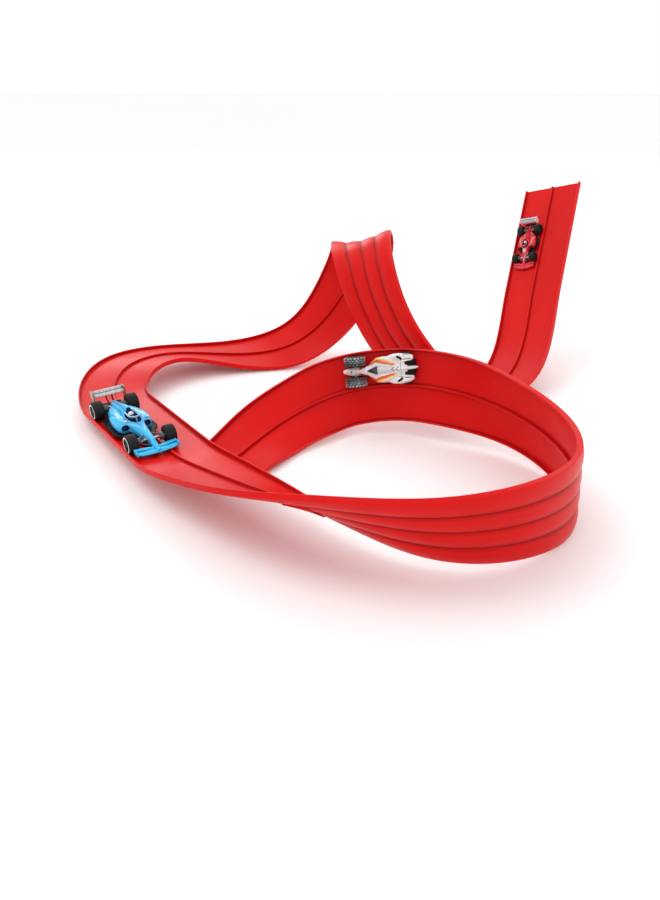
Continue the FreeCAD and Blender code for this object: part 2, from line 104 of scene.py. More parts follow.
class ArcLeg:
    """Stretch turning evenly about one axis, banked throughout."""

    def __init__(self):
        self.centre = np.array(ARC_CENTRE, float) + SHIFT
        self.axis = unit(np.array(ARC_AXIS, float))
        right, left = np.array(ARC_RIGHT, float), np.array(ARC_LEFT, float)
        self.arm = (right + left) / 2 + SHIFT - self.centre
        along = np.cross(self.axis, self.arm)
        self.radius = np.linalg.norm(along)
        self.along = unit(along)
        side = left - right
        self.half = unit(side - self.along * np.dot(side, self.along)) * WIDTH / 2
        self.length = self.radius * math.radians(ARC_SWEEP)

    def edges(self, d):
        turn = math.degrees(d / self.radius)
        middle = self.centre + spin(self.arm, self.axis, turn)
        half = spin(self.half, self.axis, turn)
        return middle - half, middle + half, spin(self.along, self.axis, turn)

    def slope(self, d):
        right, left, along = self.edges(d)
        return (np.cross(self.axis, right - self.centre) / self.radius,
                np.cross(self.axis, left - self.centre) / self.radius)


class Smooth:
    """Cubic spline through points at given parameters, with given end slopes."""

    def __init__(self, marks, points, first, last):
        x, p = np.array(marks, float), np.array(points, float)
        n, h = len(x), np.diff(x)
        m, r = np.zeros((n, n)), np.zeros((n, p.shape[1]))
        m[0, 0] = m[-1, -1] = 1
        r[0], r[-1] = first, last
        for i in range(1, n - 1):
            m[i, i - 1], m[i, i], m[i, i + 1] = h[i], 2 * (h[i - 1] + h[i]), h[i - 1]
            r[i] = 3 * (h[i] * (p[i] - p[i - 1]) / h[i - 1] + h[i - 1] * (p[i + 1] - p[i]) / h[i])
        self.x, self.p, self.d = x, p, np.linalg.solve(m, r)

    def at(self, t):
        i = min(max(int(np.searchsorted(self.x, t) - 1), 0), len(self.x) - 2)
        h = self.x[i + 1] - self.x[i]
        u = (t - self.x[i]) / h
        p, q, a, b = self.p[i], self.p[i + 1], self.d[i], self.d[i + 1]
        value = ((2 * u**3 - 3 * u**2 + 1) * p + (u**3 - 2 * u**2 + u) * h * a
                 + (3 * u**2 - 2 * u**3) * q + (u**3 - u**2) * h * b)
        slope = ((6 * u**2 - 6 * u) * (p - q) / h + (3 * u**2 - 4 * u + 1) * a
                 + (3 * u**2 - 2 * u) * b)
        return value, slope


class BentLeg:
    """Free stretch: a spline for each edge, tangent to the legs before and after."""

    def __init__(self, stations, before, after):
        right, left, _ = before.edges(before.length)
        rights, lefts = [right], [left]
        for x, y, z, heading, lift in stations:
            middle = np.array([x, y, z], float) + SHIFT
            half = pointing(heading, lift) * WIDTH / 2
            rights.append(middle - half)
            lefts.append(middle + half)
        first = before.slope(before.length)
        if after is not None:
            right, left, _ = after.edges(0)
            rights.append(right)
            lefts.append(left)
            last = after.slope(0)
        else:
            run = unit(rights[-1] + lefts[-1] - rights[-2] - lefts[-2])
            last = (run, run)
        marks = [0.0]
        for i in range(1, len(rights)):
            hop = (rights[i] + lefts[i] - rights[i - 1] - lefts[i - 1]) / 2
            marks.append(marks[-1] + np.linalg.norm(hop))
        self.length = marks[-1]
        self.right = Smooth(marks, rights, first[0], last[0])
        self.left = Smooth(marks, lefts, first[1], last[1])

    def edges(self, d):
        d = min(d, self.length)
        right, right_slope = self.right.at(d)
        left, left_slope = self.left.at(d)
        return right, left, unit(right_slope + left_slope)


drop = StraightLeg(DROP)
blue_straight = StraightLeg(BLUE_STRAIGHT)
white_arc = ArcLeg()
loop = BentLeg(LOOP, drop, blue_straight)
ring = BentLeg(RING, blue_straight, white_arc)
tail = BentLeg(TAIL, white_arc, None)
LEGS = [drop, loop, blue_straight, ring, white_arc, tail]
STARTS = np.cumsum([0] + [leg.length for leg in LEGS])
ROUTE_LENGTH = STARTS[-1]


def on_route(d):
    """Middle of the running surface, then the ways ahead, to the left edge and out."""
    for leg in LEGS:
        if d <= leg.length or leg is LEGS[-1]:
            break
        d -= leg.length
    right, left, along = leg.edges(d)
    side = unit(left - right)
    out = unit(np.cross(along, side))
    return (right + left) / 2, np.cross(side, out), side, out


# ---------------------------------------------------------------- node helpers
class Paint:
    """A Principled material built up from procedural nodes."""

    def __init__(self, name, **fixed):
        self.material = bpy.data.materials.new(name)
        self.material.use_nodes = True
        self.tree = self.material.node_tree
        self.shader = self.tree.nodes["Principled BSDF"]
        for socket, value in fixed.items():
            self.shader.inputs[socket.replace("_", " ")].default_value = value
        self.spot = self.add("ShaderNodeAttribute", attribute_name="spot").outputs["Vector"]

    def add(self, kind, inputs=(), **settings):
        node = self.tree.nodes.new(kind)
        for key, value in settings.items():
            setattr(node, key, value)
        for socket, value in dict(inputs).items():
            target = node.inputs[socket]
            if isinstance(value, bpy.types.NodeSocket):
                self.tree.links.new(value, target)
            else:
                target.default_value = value
        return node

    def math(self, operation, a, b=0.0):
        return self.add("ShaderNodeMath", {0: a, 1: b}, operation=operation).outputs[0]

    def times(self, first, *factors):
        for factor in factors:
            first = self.math("MULTIPLY", first, factor)
        return first

    def parts(self):
        """The three measures of a spot: along, across and up, in millimetres."""
        return tuple(self.add("ShaderNodeSeparateXYZ", {0: self.spot}).outputs)

    def radius(self):
        """Distance from a wheel's axis."""
        x, _, z = self.parts()
        return self.math("SQRT", self.math("ADD", self.times(x, x), self.times(z, z)))

    def noise(self, scale, detail=3.0, stretch=(1, 1, 1)):
        spot = self.add("ShaderNodeVectorMath", {0: self.spot, 1: stretch}, operation="MULTIPLY")
        return self.add("ShaderNodeTexNoise", {"Vector": spot.outputs[0], "Scale": scale,
                                               "Detail": detail, "Roughness": 0.55}).outputs["Fac"]

    def remap(self, value, a, b, low, high):
        """Low where the value is a, high where it is b."""
        return self.add("ShaderNodeMapRange", {0: value, 1: a, 2: b, 3: low, 4: high}).outputs[0]

    def uneven(self, low, high, scale, detail=3.0, stretch=(1, 1, 1)):
        """Noise spread between two values."""
        return self.remap(self.noise(scale, detail, stretch), 0.3, 0.7, low, high)

    def band(self, value, low, high, soft):
        """1 between low and high, with soft edges."""
        return self.times(self.remap(value, low - soft, low + soft, 0, 1),
                          self.remap(value, high - soft, high + soft, 1, 0))

    def ramp(self, value, stops):
        node = self.add("ShaderNodeValToRGB", {0: value})
        elements = node.color_ramp.elements
        while len(elements) < len(stops):
            elements.new(0.5)
        for element, (position, colour) in zip(elements, stops):
            element.position = position
            element.color = (*colour, 1)
        return node.outputs[0]

    def mix(self, factor, a, b):
        """From a to b as the factor rises from 0 to 1; each is a colour or a socket."""
        a, b = [c if isinstance(c, bpy.types.NodeSocket) else (*c, 1) for c in (a, b)]
        return self.add("ShaderNodeMix", {0: factor, 6: a, 7: b}, data_type="RGBA").outputs[2]

    def edges(self, low=0.52, high=0.62):
        """1 along outward edges."""
        pointed = self.add("ShaderNodeNewGeometry").outputs["Pointiness"]
        return self.remap(pointed, low, high, 0, 1)

    def worn(self, base, colour, scale=1.0, most=0.6):
        """Base with its outward edges rubbed to another colour in patches."""
        rubbed = self.times(self.edges(), self.remap(self.noise(scale, 4), 0.42, 0.62, 0, most))
        return self.mix(rubbed, base, colour)

    def link(self, value, socket):
        self.tree.links.new(value, self.shader.inputs[socket])

    def finished(self, base, roughness, grain, depth=0.01, strength=1.0):
        """The material, with its colour, gloss and a grain raised by depth in millimetres."""
        self.link(base, "Base Color")
        self.link(roughness, "Roughness")
        bump = self.add("ShaderNodeBump", {"Height": grain, "Distance": depth * MM, "Strength": strength})
        self.link(bump.outputs[0], "Normal")
        return self.material


def shade(colour, factor):
    return tuple(min(1.0, c * factor) for c in colour)


# ---------------------------------------------------------------- materials
def plain_paint(name, colour, roughness, vary=0.12, grain=1.5, depth=0.01, wear=None, **fixed):
    """Moulded or painted finish: drifting tone, uneven gloss, fine surface, worn edges."""
    p = Paint(name, **fixed)
    base = p.mix(p.uneven(0, 1, 0.09, 4), shade(colour, 1 - vary), shade(colour, 1 + vary))
    if wear is not None:
        base = p.worn(base, wear, 1.1, 0.75)
    return p.finished(base, p.uneven(roughness * 0.8, roughness * 1.25, 0.5, 5), p.noise(grain, 4), depth)


def track_paint():
    """Bright red flexible plastic: faint extrusion lines, light running marks, painted shade in the wall
    corners and grooves, painted highlight on the wall tops.
    """
    p = Paint("track_red", Specular_IOR_Level=0.10, Coat_Weight=0.02, Coat_Roughness=0.30)
    _, across, above = p.parts()
    reach = p.math("ABSOLUTE", across)
    base = p.mix(p.uneven(0, 1, 0.008, 2, (1, 1.6, 1.6)), (0.60, 0.003, 0.003), (0.69, 0.006, 0.006))
    streak = p.noise(0.8, 3, (0.010, 1, 1))
    base = p.mix(p.remap(streak, 0.5, 0.8, 0, 0.15), base, (0.72, 0.02, 0.02))

    lane = p.times(p.band(reach, 9, 32, 5), p.band(above, -0.6, 2, 0.4))
    ran = p.times(lane, p.remap(p.noise(1.1, 4, (0.012, 1, 1)), 0.5, 0.75, 0, 0.22))
    base = p.mix(ran, base, (0.42, 0.004, 0.005))
    # painted shade: darker lines in the inner corners at the foot of the rib and of the walls
    corner_shade = p.math("MAXIMUM", p.band(reach, 1.2, 3.0, 0.5), p.band(reach, 37.4, 39.3, 0.5))
    base = p.mix(p.times(corner_shade, p.band(above, -0.6, 2.6, 0.4), 0.75), base, (0.30, 0.0, 0.0))

    # painted shade: soft darkening about each groove underneath, and a thin darker line down the middle of
    # each groove
    under = p.band(above, -5, -1.4, 0.3)
    shadow = p.math("MAXIMUM", p.band(reach, -5, 1.8, 2.6), p.band(reach, 18.4, 22.4, 2.6))
    base = p.mix(p.times(shadow, under, 0.85), base, (0.33, 0.0, 0.0))
    groove = p.math("MAXIMUM", p.band(reach, -1, 0.5, 0.4), p.band(reach, 20.0, 21.0, 0.4))
    base = p.mix(p.times(groove, under, 0.8), base, (0.22, 0.0, 0.0))

    # painted highlight: pale patches along the tops of the walls
    wall_top_highlight = p.times(p.band(above, 3.5, 6, 0.3), p.uneven(0.1, 0.45, 0.15))
    base = p.mix(wall_top_highlight, base, (0.85, 0.05, 0.05))
    roughness = p.math("ADD", p.uneven(0.30, 0.40, 0.03), p.times(ran, 0.4))
    return p.finished(base, roughness, p.noise(1.0, 3, (0.12, 1.4, 1)), 0.02, 0.5)


def flame_paint():
    """White shell with flame bands, panel lines, slots shown by painted shade, and two small chevrons."""
    p = Paint("white_shell_paint", Coat_Weight=0.5, Coat_Roughness=0.08)
    x, y, z = p.parts()
    reach = p.math("ABSOLUTE", y)
    tone = p.remap(p.noise(0.07), 0.35, 0.65, 0, 1)
    base = p.mix(tone, (0.66, 0.66, 0.66), (0.84, 0.84, 0.83))
    deck = p.times(p.band(x, -16, 2.5, 1.5), p.band(reach, -9, 4.4, 0.5))
    base = p.mix(deck, base, (0.60, 0.61, 0.62))

    # flame bands: their middle line follows the shoulders, wavy and thinner to the rear
    line = p.ramp(p.remap(x, -20, 24, 0, 1), [
        (0.0, (0.36,) * 3), (0.16, (0.43,) * 3), (0.36, (0.60,) * 3),
        (0.56, (0.80,) * 3), (0.74, (0.57,) * 3), (1.0, (0.28,) * 3)])
    offset = p.math("SUBTRACT", reach, p.times(line, 15.5))
    wave = p.times(p.math("SUBTRACT", p.noise(0.35, 3, (1, 0.4, 0.4)), 0.5), 3.0)
    offset = p.math("DIVIDE", p.math("ADD", offset, wave), p.remap(x, -17, 2, 0.42, 1))
    flame = p.ramp(p.remap(offset, -3.4, 2.8, 0, 1), [
        (0.0, (0.50, 0.02, 0.01)), (0.3, (0.75, 0.06, 0.01)), (0.5, (0.90, 0.24, 0.01)),
        (0.72, (0.95, 0.48, 0.02)), (1.0, (0.93, 0.68, 0.16))])
    base = p.mix(p.times(p.band(offset, -3.2, 2.6, 0.3), p.band(x, -17, 24, 1.4)), base, flame)

    for low, high, outer in ((26.6, 27.3, 9), (-23.6, -23.0, 20)):
        panel_line = p.times(p.band(x, low, high, 0.12), p.band(reach, -1, outer, 0.2), 0.7)
        base = p.mix(panel_line, base, (0.10, 0.02, 0.02))
    spread = p.math("ADD", p.math("POWER", p.math("SUBTRACT", x, 32.5), 2), p.math("POWER", y, 2))
    base = p.mix(p.band(spread, -9, 1.5, 0.4), base, (0.16, 0.03, 0.03))
    for tip in (-13.2, -18.2):
        behind = p.math("ADD", p.math("SUBTRACT", x, tip), p.times(reach, 1.1))
        chevron = p.times(p.band(behind, -0.6, 0.6, 0.15), p.band(reach, -1, 2.3, 0.15))
        base = p.mix(chevron, base, (0.05, 0.05, 0.06))
    # painted shade: near-black bands where the slots would open; no openings are cut here
    for low, high, inner, outer in ((-34.5, -27, 9.9, 10.7), (-33, -26, 14.6, 15.2)):
        slot = p.times(p.band(x, low, high, 0.25), p.band(reach, inner, outer, 0.25),
                       p.band(z, 9, 30, 0.5))
        base = p.mix(slot, base, (0.012, 0.012, 0.014))
    return p.finished(base, p.uneven(0.22, 0.36, 0.6, 4), p.noise(1.2))


def side_sweep(p, x, y):
    """Measure that grows outwards and forwards, for the slanted bands of painted shade and painted
    highlight on the side pods.
    """
    return p.math("ADD", p.math("ABSOLUTE", y), p.times(x, 0.32))


def blue_paint():
    p = Paint("blue_shell_paint", Specular_IOR_Level=0.25, Coat_Weight=0.2, Coat_Roughness=0.12)
    x, y, z = p.parts()
    base = p.mix(p.uneven(0, 1, 0.05), (0.015, 0.40, 0.74), (0.025, 0.50, 0.84))
    # painted shade: the body turns darker blue towards its bottom
    low = p.times(p.remap(z, 3.0, 8.5, 1, 0), p.band(x, -90, 42, 2), 0.8)
    base = p.mix(low, base, (0.012, 0.12, 0.42))
    sweep = side_sweep(p, x, y)
    # painted shade: a darker slanted band on the side pods
    base = p.mix(p.times(p.band(sweep, 6.3, 7.6, 0.3), 0.75), base, (0.012, 0.16, 0.50))
    # painted highlight: a thin pale slanted band on the side pods
    base = p.mix(p.times(p.band(sweep, 9.0, 9.6, 0.3), 0.6), base, (0.40, 0.75, 0.95))
    base = p.worn(base, (0.30, 0.66, 0.92))
    return p.finished(base, p.uneven(0.20, 0.34, 0.5, 5), p.noise(1.4))


def red_car_paint():
    p = Paint("red_shell_paint", Specular_IOR_Level=0.35, Coat_Weight=0.35, Coat_Roughness=0.06)
    x, y, _ = p.parts()
    base = p.mix(p.uneven(0, 1, 0.08), (0.52, 0.008, 0.02), (0.72, 0.02, 0.035))
    # painted highlight: a pale pink patch on top of the body, in the middle
    pale = p.times(p.band(x, 8, 16, 1.5), p.band(p.math("ABSOLUTE", y), -4, 2.2, 0.4), 0.75)
    base = p.mix(pale, base, (0.90, 0.62, 0.62))
    sweep = side_sweep(p, x, y)
    # painted highlight: a pale slanted band on the side pods
    base = p.mix(p.times(p.band(sweep, 8.6, 9.6, 0.3), 0.7), base, (0.85, 0.45, 0.45))
    base = p.worn(base, (0.88, 0.40, 0.40))
    return p.finished(base, p.uneven(0.18, 0.30, 0.5, 5), p.noise(1.4))


def tyre_paint(name, colour, ring=None):
    """Rubber with fine circumferential wear; ring is the sidewall ring's radii and colour."""
    p = Paint(name, Specular_IOR_Level=0.25)
    base = p.mix(p.uneven(0, 1, 0.4, 4), shade(colour, 0.7), shade(colour, 1.5))
    dust = p.times(p.edges(), p.remap(p.noise(1.5, 4), 0.4, 0.65, 0, 0.3))
    base = p.mix(dust, base, (0.05, 0.045, 0.045))
    if ring is not None:
        inner, outer, tint = ring
        _, y, _ = p.parts()
        base = p.mix(p.times(p.band(p.radius(), inner, outer, 0.08), p.band(y, 1.5, 20, 0.3)), base, tint)
    grain = p.math("ADD", p.noise(3.0), p.times(p.noise(2.0, 2, (0.1, 1, 0.1)), 0.5))
    return p.finished(base, p.uneven(0.45, 0.75, 0.8, 4), grain, 0.04)


def worn_metal_paint():
    """Mottled bright treads, darker on the inner half, with painted shade down between the blocks."""
    p = Paint("treaded_tyre_metal", Metallic=0.4)
    _, y, _ = p.parts()
    base = p.ramp(p.noise(0.17, 4), [(0.36, (0.02, 0.03, 0.03)), (0.48, (0.10, 0.14, 0.135)),
                                     (0.58, (0.36, 0.44, 0.42)), (0.70, (0.75, 0.80, 0.78))])
    base = p.mix(p.times(p.edges(0.5, 0.6), 0.35), base, (0.55, 0.62, 0.60))
    base = p.mix(p.remap(y, -2.5, 0.8, 0.8, 0), base, (0.020, 0.024, 0.024))
    # painted shade: near-black below the tops of the blocks, in the recesses between them
    base = p.mix(p.remap(p.radius(), 10.9, 11.7, 0.94, 0), base, (0.010, 0.012, 0.012))
    return p.finished(base, p.uneven(0.28, 0.5, 0.9, 4), p.noise(2.0, 4), 0.06)


def wing_paint(name, plating, edge):
    """Plated wing with darker edges."""
    p = Paint(name, Metallic=0.6)
    tone = p.uneven(0, 1, 0.3, 4, (0.4, 2.0, 1.0))
    base = p.mix(tone, shade(plating, 0.75), shade(plating, 1.2))
    base = p.mix(p.times(p.edges(0.51, 0.57), 0.8), base, edge)
    return p.finished(base, p.uneven(0.22, 0.4, 0.7, 4), p.noise(1.5, 3, (0.3, 2, 1)), 0.02)


def canopy_paint():
    """Near-black glazing with one slanted sheen, a painted reflection."""
    p = Paint("canopy_dark", Specular_IOR_Level=0.3, Coat_Weight=0.3, Coat_Roughness=0.08)
    x, y, _ = p.parts()
    # painted reflection: one slanted paler band across the glazing
    sheen = p.band(p.math("ADD", x, p.times(y, 0.6)), 4.0, 7.0, 1.2)
    base = p.mix(p.times(sheen, p.uneven(0.3, 0.9, 0.3)), (0.006, 0.009, 0.009), (0.07, 0.09, 0.09))
    return p.finished(base, p.uneven(0.10, 0.2, 0.6), p.noise(0.8))


def helmet_paint():
    p = Paint("helmet_white", Coat_Weight=0.8, Coat_Roughness=0.05)
    x, _, z = p.parts()
    base = p.mix(p.uneven(0, 1, 0.4), (0.62, 0.65, 0.70), (0.82, 0.84, 0.88))
    visor = p.times(p.band(x, 0.8, 5, 0.15), p.band(z, -0.9, 0.7, 0.12))
    base = p.mix(visor, base, (0.01, 0.012, 0.016))
    return p.finished(base, p.uneven(0.15, 0.3, 0.8), p.noise(1.5))


RUBBER = (0.008, 0.008, 0.008)
RED = track_paint()
WHITE_SHELL = flame_paint()
BLUE_SHELL = blue_paint()
RED_SHELL = red_car_paint()
BLACK = plain_paint("black_plastic", (0.009, 0.009, 0.010), 0.45, 0.3, 1.2, 0.02,
                    wear=(0.04, 0.04, 0.04), Specular_IOR_Level=0.08)
DARK_BLUE = plain_paint("cockpit_blue", (0.008, 0.03, 0.13), 0.35, 0.3)
DARK_RED = plain_paint("cockpit_dark", (0.02, 0.006, 0.008), 0.4, 0.3)
TYRE = tyre_paint("tyre_black", RUBBER)
RINGED = tyre_paint("tyre_black_ringed", RUBBER, (4.9, 5.75, (0.90, 0.91, 0.91)))
TREADED = worn_metal_paint()
RIM = plain_paint("rim_dark", (0.008, 0.008, 0.009), 0.35, 0.3, wear=(0.05, 0.05, 0.05),
                  Metallic=0.2, Specular_IOR_Level=0.25)
STEEL = plain_paint("axle_steel", (0.55, 0.55, 0.56), 0.28, 0.15, 2.0, Metallic=1.0)
ARM = plain_paint("arm_grey", (0.10, 0.11, 0.12), 0.35, 0.25, Metallic=0.4)
SILVER = wing_paint("wing_silver", (0.52, 0.54, 0.54), (0.16, 0.10, 0.08))
SILVER_BLUE = wing_paint("wing_silver_blue", (0.36, 0.44, 0.50), (0.72, 0.58, 0.56))
CANOPY = canopy_paint()
HELMET = helmet_paint()
HALO_PALE = plain_paint("halo_pale", (0.30, 0.60, 0.74), 0.25, 0.25, wear=(0.03, 0.20, 0.28),
                        Coat_Weight=0.6)
ENDPLATE_BROWN = plain_paint("endplate_brown", (0.22, 0.14, 0.11), 0.35, 0.2, wear=(0.5, 0.4, 0.35),
                             Coat_Weight=0.4)
ENDPLATE_PALE = plain_paint("endplate_pale", (0.66, 0.50, 0.48), 0.35, 0.15, wear=(0.8, 0.7, 0.68),
                            Coat_Weight=0.4)


# ---------------------------------------------------------------- mesh helpers
def corners(mesh):
    co = np.zeros(len(mesh.vertices) * 3)
    mesh.vertices.foreach_get("co", co)
    return co.reshape(-1, 3)


def enclosed(mesh):
    """Volume of a closed mesh, negative where its faces look inwards."""
    mesh.calc_loop_triangles()
    turns = np.zeros(len(mesh.loop_triangles) * 3, np.int32)
    mesh.loop_triangles.foreach_get("vertices", turns)
    a, b, c = (corners(mesh)[turns.reshape(-1, 3)[:, k]] for k in range(3))
    return float(np.einsum("ij,ij->i", a, np.cross(b, c)).sum()) / 6


def new_mesh(name, verts, faces, marks=None):
    """Closed mesh, its faces turned outwards; marks are the faces' material numbers."""
    mesh = bpy.data.meshes.new(name)
    mesh.from_pydata([tuple(v) for v in verts], [], faces)
    if marks is not None:
        mesh.polygons.foreach_set("material_index", marks)
    mesh.validate()
    mesh.update()
    if enclosed(mesh) < 0:
        mesh.flip_normals()
    obj = bpy.data.objects.new(name, mesh)
    bpy.context.scene.collection.objects.link(obj)
    return obj


def write_spots(mesh, spots):
    attribute = mesh.attributes.new("spot", "FLOAT_VECTOR", "POINT")
    attribute.data.foreach_set("vector", np.asarray(spots, np.float32).ravel())


def smooth(mesh, sharp):
    """Smooth shading, kept crisp where faces meet at more than sharp degrees."""
    mesh.polygons.foreach_set("use_smooth", [True] * len(mesh.polygons))
    mesh.set_sharp_from_angle(angle=math.radians(sharp))


def modified(obj, kind, **settings):
    """The same object with one modifier turned into mesh."""
    modifier = obj.modifiers.new("shaping", kind)
    for key, value in settings.items():
        setattr(modifier, key, value)
    bpy.context.view_layer.update()
    shown = obj.evaluated_get(bpy.context.evaluated_depsgraph_get())
    mesh = bpy.data.meshes.new_from_object(shown)
    obj.modifiers.clear()
    old, obj.data = obj.data, mesh
    bpy.data.meshes.remove(old)
    return obj


def cut(obj, tools, material):
    """Take each tool out of obj; the new faces take the material."""
    for tool in tools:
        tool.data.materials.append(material)
        modified(obj, "BOOLEAN", object=tool, operation="DIFFERENCE", solver="EXACT",
                 material_mode="TRANSFER")
        bpy.data.objects.remove(tool)


def fused(obj, others, material):
    """One solid from several, all in one material."""
    for other in others:
        modified(obj, "BOOLEAN", object=other, operation="UNION", solver="EXACT")
        bpy.data.objects.remove(other)
    obj.data.materials.clear()
    obj.data.materials.append(material)
    return obj


def joined(name, pieces, materials):
    """One object from pairs of a piece and its material number."""
    verts, faces, marks = [], [], []
    for piece, mark in pieces:
        base = len(verts)
        verts += [tuple(v.co) for v in piece.data.vertices]
        for polygon in piece.data.polygons:
            faces.append(tuple(base + v for v in polygon.vertices))
            marks.append(mark)
        bpy.data.objects.remove(piece)
    obj = new_mesh(name, verts, faces, marks)
    for material in materials:
        obj.data.materials.append(material)
    return obj


def circle(count):
    return [2 * math.pi * k / count for k in range(count)]


def arc(cx, cy, radius, start, stop, count):
    angles = [math.radians(start + (stop - start) * k / count) for k in range(count + 1)]
    return [(cx + radius * math.cos(a), cy + radius * math.sin(a)) for a in angles]


def skin(rings):
    """Vertices and faces of a closed tube through rings with equal counts."""
    n = len(rings[0])
    verts = np.concatenate([np.asarray(r, float) for r in rings])
    faces = []
    for k in range(len(rings) - 1):
        for i in range(n):
            j = (i + 1) % n
            faces.append((k * n + i, k * n + j, (k + 1) * n + j, (k + 1) * n + i))
    faces.append(tuple(range(n - 1, -1, -1)))
    faces.append(tuple(range((len(rings) - 1) * n, len(rings) * n)))
    return verts, faces


def eased(rows, count):
    """A smooth table of count rows through the rows given, without overshoot in any column."""
    table = np.array(rows, float)
    slopes = np.zeros_like(table)
    steps = np.diff(table, axis=0)
    slopes[0], slopes[-1] = steps[0], steps[-1]
    for c in range(table.shape[1]):
        for i in range(1, len(table) - 1):
            a, b = steps[i - 1, c], steps[i, c]
            slopes[i, c] = 0 if a * b <= 0 else 2 * a * b / (a + b)
    out = []
    for s in np.linspace(0, len(table) - 1, count):
        i = min(int(s), len(table) - 2)
        u = s - i
        out.append((2 * u**3 - 3 * u**2 + 1) * table[i] + (u**3 - 2 * u**2 + u) * slopes[i]
                   + (3 * u**2 - 2 * u**3) * table[i + 1] + (u**3 - u**2) * slopes[i + 1])
    return out


BELLY = 0.45    # the widest line of a pod's section, as a part of its height


def section(row, count, shift=0.0, size=1.0):
    """Ring of a pod's row, a rounded box, moved along x and shrunk about its widest line."""
    x, y, low, high, half, power = row
    waist = low + (high - low) * BELLY
    ring = []
    for a in circle(count):
        c, s = math.cos(a), math.sin(a)
        w = math.copysign(abs(c) ** (2 / power), c) * half
        h = math.copysign(abs(s) ** (2 / power), s) * ((high - waist) if s > 0 else (waist - low))
        ring.append((x + shift, y + w * size, waist + h * size))
    return ring


def pod(name, rows, count, ends, sections=36, side=1):
    """Hull from front to back through rows of x, offset, low, high, half width and power.

    Ends are the lengths of the rounded nose and tail; side is -1 for the right-hand one of a pair.
    """
    table = eased([(x, side * y, *rest) for x, y, *rest in rows], count)
    caps = [(1 - step, math.sqrt(1 - (1 - step) ** 2)) for step in (0.08, 0.35, 0.65, 0.87)]
    rings = [section(table[0], sections, ends[0] * away, size) for away, size in caps]
    rings += [section(row, sections) for row in table]
    rings += [section(table[-1], sections, -ends[1] * away, size) for away, size in reversed(caps)]
    return new_mesh(name, *skin(rings))


def plate(name, outline, low, high, bevel):
    """Slab of a plan outline, edges softened."""
    n = len(outline)
    verts = [(x, y, z) for z in (low, high) for x, y in outline]
    faces = [tuple(range(n - 1, -1, -1)), tuple(range(n, 2 * n))]
    faces += [(i, (i + 1) % n, n + (i + 1) % n, n + i) for i in range(n)]
    return modified(new_mesh(name, verts, faces), "BEVEL", width=bevel, segments=3,
                    limit_method="ANGLE", angle_limit=math.radians(30))


def block(name, low, high, bevel):
    outline = [(low[0], low[1]), (high[0], low[1]), (high[0], high[1]), (low[0], high[1])]
    return plate(name, outline, low[2], high[2], bevel)


def turned(name, profile, count):
    """Solid turned about the y axis from a closed profile of radius and y."""
    verts = [(r * math.cos(a), y, r * math.sin(a)) for a in circle(count) for r, y in profile]
    faces = []
    n = len(profile)
    for k in range(count):
        m = (k + 1) % count
        for i in range(n):
            j = (i + 1) % n
            faces.append((k * n + i, k * n + j, m * n + j, m * n + i))
    return new_mesh(name, verts, faces)


def drum(name, radius, low, high, place, count, hole=0.02):
    """Disc or ring about a line along y through a place."""
    obj = turned(name, [(hole, low), (radius, low), (radius, high), (hole, high)], count)
    obj.data.transform(Matrix.Translation(place))
    return obj


def rod(name, points, radius, sections=8, steps=8):
    """Bar along a smooth line through points, closed at both ends."""
    line = eased(points, 2 if len(points) == 2 else steps * (len(points) - 1) + 1)
    rings = []
    for i, p in enumerate(line):
        ahead = unit(line[min(i + 1, len(line) - 1)] - line[max(i - 1, 0)])
        guide = np.array([0, 0, 1.0]) if abs(ahead[2]) < 0.9 else np.array([1.0, 0, 0])
        u = unit(np.cross(guide, ahead))
        v = np.cross(ahead, u)
        rings.append([p + radius * (math.cos(a) * u + math.sin(a) * v) for a in circle(sections)])
    return new_mesh(name, *skin(rings))


def aerofoil(name, table, thick, camber):
    """Wing plane through rows of y, leading x, trailing x and height; flatter underneath."""
    steps, edge = 12, 0.10
    rings = []
    for y, lead, trail, z in table:
        over, under = [], []
        for k in range(steps + 1):
            u = 0.5 - 0.5 * math.cos(math.pi * k / steps)
            x = lead - (lead - trail) * u
            arch = z + camber * 4 * u * (1 - u) + 0.10 * (lead - trail) * u
            over.append((x, y, arch + thick * 1.6 * math.sqrt(u) * (1 - u) + edge))
            under.append((x, y, arch - edge - 0.25 * thick * math.sin(math.pi * u)))
        rings.append(over + under[::-1])
    return new_mesh(name, *skin(rings))


def swept(name, stations, thick, camber=0.3):
    """Wing plane on both sides, in one piece where its stations start in the middle."""
    left, right = list(stations), [(-y, *rest) for y, *rest in reversed(stations)]
    spans = [right[:-1] + left] if left[0][0] == 0 else [left, right]
    skins = [aerofoil(name, eased(span, 8 * (len(span) - 1) + 1), thick, camber) for span in spans]
    return joined(name, [(one, 0) for one in skins], [])


def ball(name, radii, rows=20, columns=32):
    rings = []
    for i in range(1, rows):
        level = math.pi * i / rows
        rings.append([(radii[0] * math.sin(level) * math.cos(a), radii[1] * math.sin(level) * math.sin(a),
                       radii[2] * math.cos(level)) for a in circle(columns)])
    return new_mesh(name, *skin(rings))


# ---------------------------------------------------------------- track
HALF_WIDTH = WIDTH / 2
BAND = HALF_WIDTH / 2
STEP = 2.2          # length of strip between two sections
SEAM = 0.03         # half the gap between two lengths
TONGUE_HALF = 13    # how far a joining tongue reaches under each length
LIP = [(15, -3.0), (15, -3.9), (14.2, -4.2), (-14.2, -4.2), (-15, -3.9), (-15, -3.0)]


